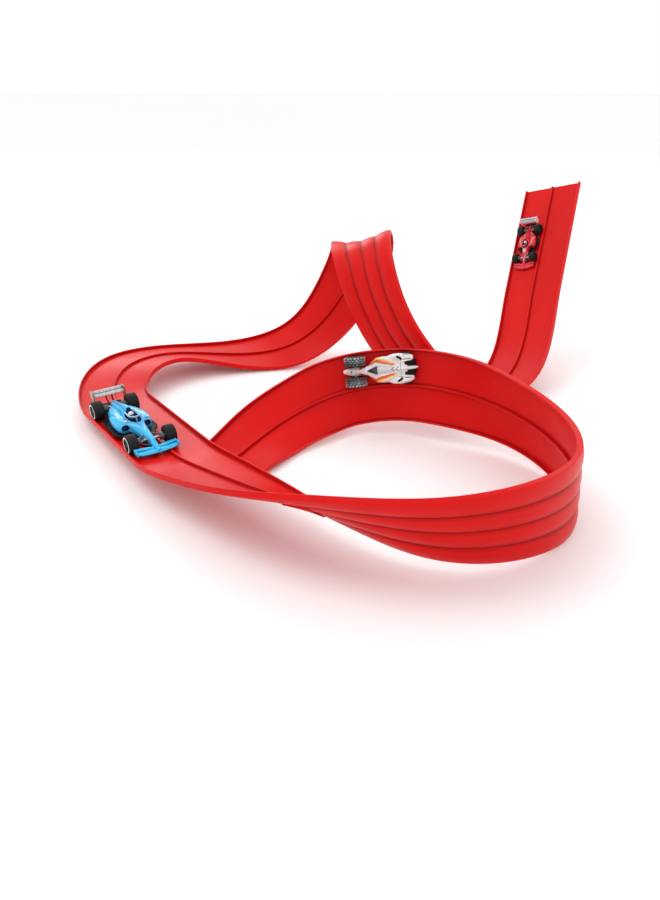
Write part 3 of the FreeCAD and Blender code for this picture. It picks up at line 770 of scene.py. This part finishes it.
def half_profile():
    """Right half of the strip's section, from the rib's middle over the top to the middle groove."""
    rib = [(0, 3.0), (0.5, 3.0)] + arc(0.7, 2.2, 0.8, 90, 0, 4) + [(1.5, 1.0)]
    rib += arc(2.2, 0.7, 0.7, 180, 270, 4)
    lane = [(2.6, 0), (8, 0), (14, 0), (20.25, 0), (26, 0), (32, 0), (37.6, 0)]
    wall = arc(38.1, 0.9, 0.9, 270, 360, 4) + [(39, 1.6), (39, 2.6)]
    wall += arc(40, 3.0, 1.0, 180, 0, 8) + [(41, 2.4), (41, 0.4), (41, -1.3)]
    bands = [(HALF_WIDTH - 0.1, -1.75)]
    for outer in (HALF_WIDTH, BAND):
        for k in range(1, 25):
            t = k / 24
            bands.append((outer - BAND * t, -1.7 - 1.6 * math.sin(math.pi * t) ** 0.75))
    return rib + lane + wall + bands


HALF = half_profile()
PROFILE = HALF + [(-a, h) for a, h in reversed(HALF[1:-1])]


def ribbon(name, start, stop, profile):
    """Length of the route between two distances, with a profile of across and above."""
    count = int(round((stop - start) / STEP))
    rings, spots = [], []
    for k in range(count + 1):
        d = start + (stop - start) * k / count
        middle, along, side, out = on_route(min(max(d, 0), ROUTE_LENGTH))
        rings.append([(middle + side * a + out * h) * MM for a, h in profile])
        spots += [(d, a, h) for a, h in profile]
    obj = new_mesh(name, *skin(rings))
    write_spots(obj.data, spots)
    smooth(obj.data, 32)
    obj.data.materials.append(RED)
    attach(obj, "track")
    return obj


length = ROUTE_LENGTH / PIECES
for number in range(PIECES):
    strip = ribbon("strip_%d" % (number + 1), number * length + SEAM, (number + 1) * length - SEAM, PROFILE)
    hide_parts("track_%d" % (number + 1))

for number in range(1, PIECES):
    joint = number * length
    tongue = ribbon("tongue_%d" % number, joint - TONGUE_HALF, joint + TONGUE_HALF, LIP)
    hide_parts("joiner_%d" % number)


# ---------------------------------------------------------------- what all cars share
AXLE_BORE = 1.35
SIDES = ((1, "left"), (-1, "right"))


def moved(x, y, z):
    return Matrix.Translation((x, y, z))


class Car:
    """A car drawn in its own millimetres: x ahead from between the axles, y left, z up."""

    def __init__(self, name, base, scale, distance, across, above):
        self.name, self.base = name, base
        self.front, self.rear = base / 2, -base / 2
        middle, along, side, out = on_route(distance)
        origin = (middle + side * across + out * above) * MM
        turn = Matrix([*zip(along, side, out)]).to_4x4()
        self.place = moved(*origin) @ turn @ Matrix.Scale(scale * MM, 4)

    def back(self, fraction):
        """Station behind the front axle, as a part of the wheelbase."""
        return self.front - fraction * self.base

    def put(self, obj, slot, node=None, body="car", material=None, centre=(0, 0, 0), sharp=38,
            flip=False):
        """Finish a piece: smooth it, note its spots, place it, let it ride."""
        mesh = obj.data
        if material is not None:
            mesh.materials.append(material)
        write_spots(mesh, corners(mesh))
        if flip:
            mesh.transform(Matrix.Diagonal((1, -1, 1, 1)))
            mesh.flip_normals()
        mesh.transform(self.place @ moved(*centre))
        smooth(mesh, sharp)
        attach(obj, "%s_%s" % (self.name, body))
        if node is not None:
            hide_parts("%s_%s" % (self.name, node))

    def dress(self, node, material):
        """Give a CAD node a procedural finish in the car's own millimetres."""
        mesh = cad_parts["%s_%s" % (self.name, node)].data
        inverse = np.array(self.place.inverted(), float)
        write_spots(mesh, corners(mesh) @ inverse[:3, :3].T + inverse[:3, 3])
        mesh.materials.clear()
        mesh.materials.append(material)

    def axle(self, end, x, radius, tread, car_half, make, slot):
        """Both wheels of an axle, and the axle itself with its finish."""
        for side, word in SIDES:
            wheel_name = "%s_%s" % (end, word)
            self.put(make("%s_%s_tyre" % (self.name, wheel_name)), slot, wheel_name + "_wheel",
                     end + "_wheels", centre=(x, side * (car_half - tread / 2), radius), sharp=32,
                     flip=side < 0)
        self.dress(end + "_axle", STEEL)


def bore(x, z):
    return drum("bore", AXLE_BORE, -15, 15, (x, 0, z), 20)


def tyre_profile(radius, half, rim):
    """Closed profile: tread with rounded shoulders, bulged sidewall, sunk rim."""
    shoulder = 1.5
    points = [(1.0, -half + 0.4), (rim - 1.0, -half + 0.2), (rim, -half)]
    points += arc(radius - shoulder, -half + shoulder, shoulder, 270, 360, 6)
    points += [(radius, 0)]
    points += arc(radius - shoulder, half - shoulder, shoulder, 0, 90, 6)
    points += [(rim + 0.5, half), (rim + 0.1, half - 0.1), (rim - 0.2, half - 0.5), (rim - 0.6, half - 1.3),
               (2.2, half - 1.1), (1.6, half - 0.5), (1.0, half - 0.4)]
    return points


def wheel(name, radius, half, rim, tyre, spokes=10):
    """Tyre, rim with spokes and hub, drawn about its own centre with its face towards +y."""
    pieces = [(turned(name + "_tyre", tyre_profile(radius, half, rim), 72), 0)]
    for a in circle(spokes):
        inner, outer = 1.2, rim - 0.5
        spoke = [(inner * math.cos(a), half - 0.7, inner * math.sin(a)),
                 (outer * math.cos(a), half - 0.9, outer * math.sin(a))]
        pieces.append((rod(name + "_spoke", spoke, 0.24, 6), 1))
    hub = [(0.05, half - 1.2), (1.5, half - 1.2), (1.5, half - 0.3), (1.1, half - 0.05), (0.6, half),
           (0.05, half - 0.2)]
    pieces.append((turned(name + "_hub", hub, 24), 1))
    return joined(name, pieces, [tyre, RIM])


LUGS = 18           # tread blocks in a row


def lug(radius, start, stop, low, high, skew):
    """Tread block between two angles and two widths, its top edges drawn in."""
    verts = []
    for level, inset in ((radius - 1.4, 0.0), (radius - 0.35, 0.0), (radius, 0.25)):
        for a, y, side, inwards in ((start, low, -1, 1), (stop, low, -1, -1),
                                    (stop, high, 1, -1), (start, high, 1, 1)):
            angle = a + side * skew + inset / radius * inwards
            verts.append((level * math.cos(angle), y - side * inset, level * math.sin(angle)))
    faces = [(3, 2, 1, 0), (8, 9, 10, 11)]
    for level in (0, 4):
        for i in range(4):
            j = (i + 1) % 4
            faces.append((level + i, level + j, level + 4 + j, level + 4 + i))
    return new_mesh("lug", verts, faces)


def treaded_wheel(name, radius, half, rim):
    """Wide wheel with raised tread blocks in staggered rows."""
    pieces = [(turned(name + "_tyre", tyre_profile(radius - 0.8, half, rim), 144), 0)]
    rows = [(-half + 0.9, -half + 3.3), (-half + 3.9, -0.3), (0.3, half - 3.9), (half - 3.3, half - 0.9)]
    for r, (low, high) in enumerate(rows):
        skew = 0.06 if r < 2 else -0.06
        for k in range(LUGS):
            start, stop = (2 * math.pi * (k + 0.5 * (r % 2) + part) / LUGS for part in (0.10, 0.82))
            pieces.append((lug(radius, start, stop, low, high, skew), 0))
    hub = [(0.05, half - 1.2), (2.6, half - 1.2), (2.4, half - 0.1), (1.2, half + 0.2), (0.05, half + 0.1)]
    pieces.append((turned(name + "_hub", hub, 24), 1))
    return joined(name, pieces, [TREADED, RIM])


# ---------------------------------------------------------------- open-wheel cars
FRONT_RADIUS, FRONT_TREAD = 7, 7.8
REAR_RADIUS, REAR_TREAD = 7.4, 8.6
FORMULA_HALF = 18.2     # from the middle to a tyre's outer face


def formula_shell(car, paint, dark, slot):
    """Nose, cockpit sides, airbox and side pods, with cockpit, intakes and axle bores cut out."""
    front, rear, back = car.front, car.rear, car.back
    spine = pod(car.name + "_body", [
        (front + 15.5, 0, 4.0, 5.4, 1.7, 2.4), (front + 10, 0, 3.9, 6.6, 2.1, 2.4),
        (front + 2, 0, 3.6, 9.4, 2.7, 2.6), (back(0.12), 0, 3.2, 10.8, 3.6, 2.8),
        (back(0.26), 0, 3.0, 12.6, 4.6, 3.0), (back(0.38), 0, 3.0, 13.6, 6.2, 3.0),
        (back(0.50), 0, 3.0, 14.0, 6.4, 2.8), (back(0.60), 0, 3.0, 15.2, 4.8, 2.2),
        (back(0.72), 0, 3.0, 14.6, 4.0, 2.0), (back(0.86), 0, 3.0, 12.8, 3.2, 2.0),
        (rear - 2, 0, 3.4, 10.8, 2.4, 2.0), (rear - 7, 0, 4.6, 8.8, 1.5, 2.0),
    ], 60, ends=(1.3, 1.0))
    hulls = [pod("airbox", [
        (back(0.535), 0, 10.5, 18.0, 2.1, 2.6), (back(0.60), 0, 10.5, 18.2, 2.3, 2.4),
        (back(0.70), 0, 10, 17.0, 1.6, 2.2), (back(0.86), 0, 9, 14.6, 0.8, 2.0),
        (rear - 4, 0, 8, 11.6, 0.5, 2.0),
    ], 30, ends=(0.3, 0.4))]
    for side, _ in SIDES:
        hulls.append(pod("side_pod", [
            (back(0.37), 7.6, 3.6, 10.0, 4.2, 3.4), (back(0.43), 8.2, 3.2, 11.4, 5.2, 3.2),
            (back(0.54), 8.2, 3.1, 12.0, 5.6, 2.8), (back(0.68), 7.2, 3.0, 11.8, 5.4, 2.6),
            (back(0.82), 5.2, 3.0, 11.0, 4.6, 2.5), (rear + 4.5, 3.2, 3.1, 9.6, 3.2, 2.3),
        ], 36, ends=(0.4, 1.0), side=side))
    shell = fused(spine, hulls, paint)

    tools = [pod("tub", [
        (back(0.29), 0, 9.4, 19, 2.2, 2.2), (back(0.35), 0, 9.2, 19, 4.2, 2.4),
        (back(0.46), 0, 9.0, 19, 4.9, 2.6), (back(0.54), 0, 9.0, 19, 3.8, 2.4),
    ], 20, ends=(0.8, 0.3))]
    tools.append(pod("intake", [(back(0.50), 0, 15.6, 17.6, 1.4, 2.4),
                                (back(0.57), 0, 15.6, 17.6, 1.3, 2.4)], 6, ends=(0.1, 0.3)))
    for side, _ in SIDES:
        tools.append(pod("mouth", [(back(0.33), 8.6, 5.6, 10.2, 2.9, 3.0),
                                   (back(0.41), 8.4, 5.8, 9.8, 2.4, 3.0)], 6, ends=(0.1, 0.5), side=side))
    tools += [bore(front, FRONT_RADIUS), bore(rear, REAR_RADIUS)]
    cut(shell, tools, dark)
    car.put(shell, slot, "shell")


def formula_floor(car):
    """Deck with raised lips and rear strakes, and the uprights and arms that hold the axles."""
    front, rear, back = car.front, car.rear, car.back
    edge = [(rear - 9.5, 5.5), (rear - 8.2, 9.0), (rear + 9, 9.2), (rear + 10.6, 12.4), (rear + 13, 15.6),
            (back(0.6), 16.4), (back(0.42), 16.5), (back(0.345), 15.2), (back(0.31), 12.6),
            (front - 9, 6.4), (front - 2, 4.2), (front + 8, 3.6)]
    deck = edge + [(x, -y) for x, y in reversed(edge)]
    pieces = [(plate("deck", deck, 2.2, 3.0, 0.2), 0)]
    for side, _ in SIDES:
        pieces.append((rod("lip", [(x, side * (y - 0.35), 3.2) for x, y in edge[3:9]], 0.35, 6), 0))
        for k in range(3):
            y = side * (1.6 + 2.1 * k)
            pieces.append((block("strake", (rear - 9, y - 0.2, 2.4), (rear - 4, y + 0.2, 4.6), 0.08), 0))
    for x, radius, inner, outer, root in ((rear, REAR_RADIUS, 5.2, 8.8, 3.0),
                                          (front, FRONT_RADIUS, 7.4, 9.6, 2.4)):
        for side, _ in SIDES:
            upright = drum("upright", 3.0, side * inner, side * outer, (x, 0, radius), 24, AXLE_BORE)
            pieces.append((upright, 1))
            for dx, root_z, tip_z in ((-5.5, 9.0, 8.8), (5.5, 9.0, 8.8), (-5.5, 5.0, 5.6), (5.5, 5.0, 5.6)):
                arm = [(x + dx, side * root, root_z), (x + dx * 0.2, side * (inner + 0.8), tip_z)]
                pieces.append((rod("arm", arm, 0.42), 1))
    floor = joined(car.name + "_undertray", pieces, [BLACK, ARM])
    car.put(floor, "black_plastic", "floor", sharp=34)


def front_wing(car, paint, slot):
    """Swept main plane, a flap on each side and upright cheeks."""
    front = car.front
    main = [(0, front + 17.4, front + 10.6, 3.3), (5, front + 17.0, front + 10.0, 3.2),
            (10.5, front + 15.8, front + 9.4, 3.1), (15.2, front + 14.2, front + 9.0, 3.3)]
    flap = [(2.2, front + 12.4, front + 8.8, 4.5), (8, front + 11.6, front + 7.9, 4.8),
            (15.1, front + 10.6, front + 7.4, 5.2)]
    pieces = [(swept("main", main, 1.1), 0), (swept("flap", flap, 0.7), 0)]
    for side, _ in SIDES:
        y = side * 15.4
        pieces.append((block("cheek", (front + 7.6, y - 0.4, 2.6), (front + 15.0, y + 0.4, 6.0), 0.25), 0))
    car.put(joined(car.name + "_nose_wing", pieces, [paint]), slot, "front_wing")


def rear_wing(car, plated, endplate):
    """Two curved planes between endplates over a low beam, on two stays."""
    rear = car.rear
    pieces = []
    for lead, trail, root_z, tip_z, half, thick, camber, mark in (
            (8.6, 15.4, 14.6, 14.8, 12.4, 1.0, 0.9, 0), (12.0, 15.8, 16.8, 16.9, 12.4, 0.8, 0.9, 0),
            (8.0, 12.0, 6.6, 6.8, 8.6, 0.6, 0.5, 1)):
        plane = [(0, rear - lead, rear - trail, root_z), (half, rear - lead, rear - trail, tip_z)]
        pieces.append((swept("plane", plane, thick, camber), mark))
    outline = [(rear - 7.8, 12.6), (rear - 8.4, 18.2), (rear - 9.6, 18.6), (rear - 16.0, 18.6),
               (rear - 16.0, 13.0), (rear - 13.6, 8.6), (rear - 10, 8.4)]
    for side, _ in SIDES:
        end = plate("endplate", outline, -0.45, 0.45, 0.2)
        end.data.transform(moved(0, side * 12.8, 0) @ Matrix.Rotation(math.pi / 2, 4, "X"))
        stay = [(rear - 5.5, side * 1.6, 7.4), (rear - 9.5, side * 2.2, 10.0),
                (rear - 12.0, side * 2.4, 14.8)]
        lamp = [(rear - 6.5, 0.3 * side, 5.6), (rear - 8.8, 0.3 * side, 5.4)]
        pieces += [(end, 2), (rod("stay", stay, 0.55), 1), (rod("lamp", lamp, 0.7), 1)]
    wing = joined(car.name + "_tail_wing", pieces, [plated, BLACK, endplate])
    car.put(wing, "wing_silver", "rear_wing")


def driver(car, dark):
    """Plain helmet, collar and steering wheel."""
    seat, grip = car.back(0.485), car.back(0.40)
    helmet = ball(car.name + "_helmet", (2.5, 2.25, 2.35))
    car.put(helmet, "helmet_white", "driver", material=HELMET, centre=(seat, 0, 13.6), sharp=40)
    collar = pod(car.name + "_collar", [
        (seat + 2.2, 0, 9.6, 11.6, 2.2, 2.6), (seat, 0, 9.6, 12.2, 2.9, 2.6),
        (seat - 2.0, 0, 9.6, 12.4, 2.4, 2.6)], 10, ends=(0.4, 0.3))
    car.put(collar, "black_plastic", material=dark, sharp=40)
    grips = [(grip, -1.7, 12.0), (car.back(0.395), 0, 12.5), (grip, 1.7, 12.0)]
    steering = rod(car.name + "_steering", grips, 0.35)
    car.put(steering, "black_plastic", material=BLACK, sharp=40)


def halo(car, material, slot):
    """Hoop over the cockpit on one post, and the mirrors on their stalks."""
    back, tip = car.back, car.back(0.33)
    left = [(back(0.575), 2.6, 14.6), (back(0.53), 3.6, 15.4), (tip - 5.0, 4.2, 15.9),
            (tip - 1.6, 3.2, 16.0)]
    hoop = left + [(tip, 0, 15.8)] + [(x, -y, z) for x, y, z in reversed(left)]
    post = [(tip + 0.4, 0, 11.6), (tip, 0, 15.8)]
    pieces = [(rod("hoop", hoop, 0.62, 10, 6), 0), (rod("post", post, 0.5, 10), 0)]
    for side, _ in SIDES:
        stalk = [(tip - 1.0, side * 4.6, 12.6), (tip - 0.6, side * 7.6, 13.4)]
        mirror = [(tip + 0.3, 8.4, 12.7, 14.5, 1.3, 3.0), (tip - 1.4, 8.4, 12.6, 14.6, 1.4, 3.4)]
        glass = pod("mirror", mirror, 6, ends=(0.6, 0.1), side=side)
        pieces += [(rod("stalk", stalk, 0.25), 0), (glass, 0)]
    car.put(joined(car.name + "_halo_frame", pieces, [material]), slot, "halo", sharp=42)


def formula_car(car, paint, dark, plated, endplate, halo_paint, tyre, slot):
    formula_shell(car, paint, dark, slot)
    formula_floor(car)
    front_wing(car, paint, slot)
    rear_wing(car, plated, endplate)
    driver(car, dark)
    halo(car, halo_paint, slot)
    car.axle("front", car.front, FRONT_RADIUS, FRONT_TREAD, FORMULA_HALF,
             lambda name: wheel(name, FRONT_RADIUS, FRONT_TREAD / 2, 4.2, tyre), "tyre_black")
    car.axle("rear", car.rear, REAR_RADIUS, REAR_TREAD, FORMULA_HALF,
             lambda name: wheel(name, REAR_RADIUS, REAR_TREAD / 2, 4.4, tyre), "tyre_black")


# ---------------------------------------------------------------- white racer
BIG_RADIUS, BIG_TREAD = 12, 11.4
SMALL_RADIUS, SMALL_TREAD = 7.2, 7
WHITE_HALF = 17.2


def white_shell(car):
    """Wide hull with fin, fenders, ridges and shoulders; wheel wells, scoops and bores cut out."""
    middle = pod(car.name + "_body", [
        (42.0, 0, 5.2, 7.6, 2.2, 2.2), (37, 0, 4.8, 11.0, 3.8, 2.4), (31, 0, 4.5, 14.6, 4.9, 2.6),
        (26, 0, 4.3, 15.4, 5.1, 2.8), (18, 0, 4.3, 14.6, 5.2, 2.8), (13.5, 0, 4.3, 14.0, 5.6, 2.8),
        (9, 0, 4.3, 14.2, 8.4, 3.0), (4, 0, 4.3, 14.8, 12.4, 3.2), (-3, 0, 4.3, 15.2, 14.6, 3.4),
        (-12, 0, 4.3, 15.6, 14.4, 3.4), (-22, 0, 4.4, 15.6, 12.2, 3.2), (-30, 0, 4.8, 14.6, 10.4, 3.0),
    ], 70, ends=(1.0, 0.8), sections=48)
    hulls = [pod("fin", [
        (-12, 0, 8, 15.9, 1.6, 2.4), (-20, 0, 7, 17.0, 2.2, 2.4), (-30, 0, 6, 16.4, 2.4, 2.4),
        (-37, 0, 6, 13.4, 1.9, 2.2), (-41.5, 0, 6.6, 10.4, 0.9, 2.0),
    ], 30, ends=(2, 0.8))]
    for side, _ in SIDES:
        hulls.append(pod("fender", [
            (-7, 11.8, 5.6, 12.4, 2.2, 2.6), (-15, 12.6, 4.9, 15.8, 4.0, 3.0),
            (-24, 12.8, 4.8, 16.9, 4.3, 3.0), (-31, 12.4, 5.0, 16.4, 4.0, 2.8),
            (-36.4, 11.2, 6.0, 13.6, 2.6, 2.4),
        ], 36, ends=(2, 1), side=side))
        hulls.append(pod("ridge", [
            (-20, 7.4, 9, 16.2, 1.2, 2.4), (-28, 8.6, 8, 16.8, 1.5, 2.4),
            (-35.5, 9.2, 7, 14.4, 1.1, 2.2),
        ], 16, ends=(1.5, 0.8), side=side))
        hulls.append(pod("shoulder", [
            (14, 4.6, 5, 12.4, 1.6, 2.4), (8, 8.6, 5, 14.6, 2.4, 2.4),
            (2, 12.0, 5, 15.4, 2.0, 2.4), (-6, 11.6, 5, 15.6, 2.2, 2.4),
            (-14, 8.6, 6, 15.9, 1.8, 2.4),
        ], 30, ends=(2, 2), side=side))
    shell = fused(middle, hulls, WHITE_SHELL)

    tools = []
    for side, _ in SIDES:
        tools.append(drum("well", 8.0, side * 9.0, side * 24, (car.rear, 0, SMALL_RADIUS), 40))
        scoop = [(-18.4, side * 13.2), (-20.2, side * 15.0), (-25.6, side * 11.6), (-24.6, side * 9.2)]
        tools.append(plate("scoop", scoop, 13.9, 22, 0.3))
    tools += [bore(car.front, BIG_RADIUS), bore(car.rear, SMALL_RADIUS)]
    cut(shell, tools, BLACK)
    car.put(shell, "white_paint", "shell")


def exhausts(car):
    for side, word in SIDES:
        plug = pod("%s_exhaust_block_%s" % (car.name, word), [
            (-28, 5.4, 6.4, 15.2, 2.4, 3.2), (-33, 5.6, 6.4, 14.6, 3.2, 3.2),
            (-36.4, 5.4, 6.6, 13.4, 2.4, 3.2)], 14, ends=(0.8, 0.5), side=side)
        plug.data.materials.append(BLACK)
        hole = drum("hole", 1.5, 0, 6, (0, 0, 0), 24)
        hole.data.transform(moved(-34.0, side * 5.8, 9.6) @ Matrix.Rotation(math.pi / 2, 4, "Z"))
        cut(plug, [hole], RIM)
        car.put(plug, "black_plastic", "exhaust_" + word, sharp=40)


def white_car(car):
    white_shell(car)
    exhausts(car)
    glass = pod(car.name + "_canopy_glass", [
        (13.6, 0, 11, 15.2, 0.9, 2.2), (10.5, 0, 11, 16.4, 2.1, 2.4), (6.5, 0, 11, 17.8, 3.8, 2.6),
        (3.2, 0, 11, 18.5, 5.0, 2.8)], 24, ends=(0.8, 0.5))
    car.put(glass, "canopy_dark", "canopy", material=CANOPY, sharp=42)
    headrest = pod(car.name + "_headrest", [
        (3.0, 0, 11, 17.2, 3.4, 2.6), (-2, 0, 11, 17.0, 3.6, 2.4), (-10, 0, 11, 16.4, 2.6, 2.2),
        (-16, 0, 11, 15.8, 1.2, 2.0)], 24, ends=(0.4, 1.0))
    car.put(headrest, "white_paint", material=WHITE_SHELL, sharp=42)
    car.dress("floor", BLACK)
    car.axle("front", car.front, BIG_RADIUS, BIG_TREAD, WHITE_HALF,
             lambda name: treaded_wheel(name, BIG_RADIUS, BIG_TREAD / 2, 6.4), "white_front_tyre")
    car.axle("rear", car.rear, SMALL_RADIUS, SMALL_TREAD, WHITE_HALF,
             lambda name: wheel(name, SMALL_RADIUS, SMALL_TREAD / 2, 4.2, TYRE, 8), "tyre_black")


# ---------------------------------------------------------------- the cars on the strip
GAP = 0.3           # between the tyres and the running surface
HOLLOW = 2.3        # how far the banked arc rises towards a car's ends, above its middle
WALL_INSIDE = 39    # from the strip's middle
BLUE_SCALE = 1.45
BLUE_ACROSS = FORMULA_HALF * BLUE_SCALE + 0.5 - WALL_INSIDE     # right tyres 0.5 from the wall

red = Car("red", base=46.0, scale=0.92, distance=90, across=-18.9, above=GAP)
formula_car(red, RED_SHELL, DARK_RED, SILVER_BLUE, ENDPLATE_PALE, RED_SHELL, TYRE, "red_paint")
blue = Car("blue", base=76.0, scale=BLUE_SCALE, distance=STARTS[2] + 80, across=BLUE_ACROSS, above=GAP)
formula_car(blue, BLUE_SHELL, DARK_BLUE, SILVER, ENDPLATE_BROWN, HALO_PALE, RINGED, "blue_paint")
white = Car("white", base=56.0, scale=1.0, distance=STARTS[4] + 49, across=-18.85, above=GAP + HOLLOW)
white_car(white)


# ---------------------------------------------------------------- floor, light, camera
def area(name, place, target, size, power):
    light = bpy.data.lights.new(name, "AREA")
    light.shape = "RECTANGLE"
    light.size, light.size_y = size
    light.energy = power
    obj = bpy.data.objects.new(name, light)
    obj.location = place
    obj.rotation_euler = (Vector(target) - Vector(place)).to_track_quat("-Z", "Y").to_euler()
    bpy.context.scene.collection.objects.link(obj)


FLOOR_Z = -0.0002
sheet = [(x, y, FLOOR_Z) for x, y in ((-6, -6), (6, -6), (6, 8), (-6, 8))]
floor = new_mesh("studio_floor", sheet, [(0, 1, 2, 3)])
paper = Paint("studio_paper", Roughness=0.9)
mottle = paper.add("ShaderNodeTexNoise", {"Scale": 3.0, "Detail": 2.0}).outputs["Fac"]
shades = paper.mix(paper.remap(mottle, 0.3, 0.7, 0, 1), (0.97, 0.97, 0.97), (0.99, 0.99, 0.99))
paper.link(shades, "Base Color")
floor.data.materials.append(paper.material)

world = bpy.data.worlds.new("studio")
world.use_nodes = True
background = world.node_tree.nodes["Background"]
background.inputs["Color"].default_value = (1, 1, 1, 1)
background.inputs["Strength"].default_value = 1.0
bpy.context.scene.world = world
bpy.context.scene.view_settings.view_transform = "Standard"
area("key", (-0.9, 0.1, 1.7), (-0.15, 0, 0.05), (1.0, 1.0), 7)
area("back", (0.2, 1.6, 1.5), (0, 0, 0.1), (1.8, 0.6), 5)
area("sheen", (-0.75, 1.9, 0.80), (-0.25, 0, 0.02), (0.6, 0.35), 3.5)
area("right", (1.5, -0.5, 1.0), (0.1, -0.1, 0.05), (0.8, 0.8), 2)

LOOKING_DOWN = 26.5528     # degrees below level
camera = bpy.data.cameras.new("photo_camera")
camera.lens = 32
camera.sensor_width = 36
viewer = bpy.data.objects.new("photo_camera", camera)
viewer.location = (-0.020, -0.868, 0.39545)
viewer.rotation_euler = (math.radians(90 - LOOKING_DOWN), 0, 0)
bpy.context.scene.collection.objects.link(viewer)
bpy.context.scene.camera = viewer
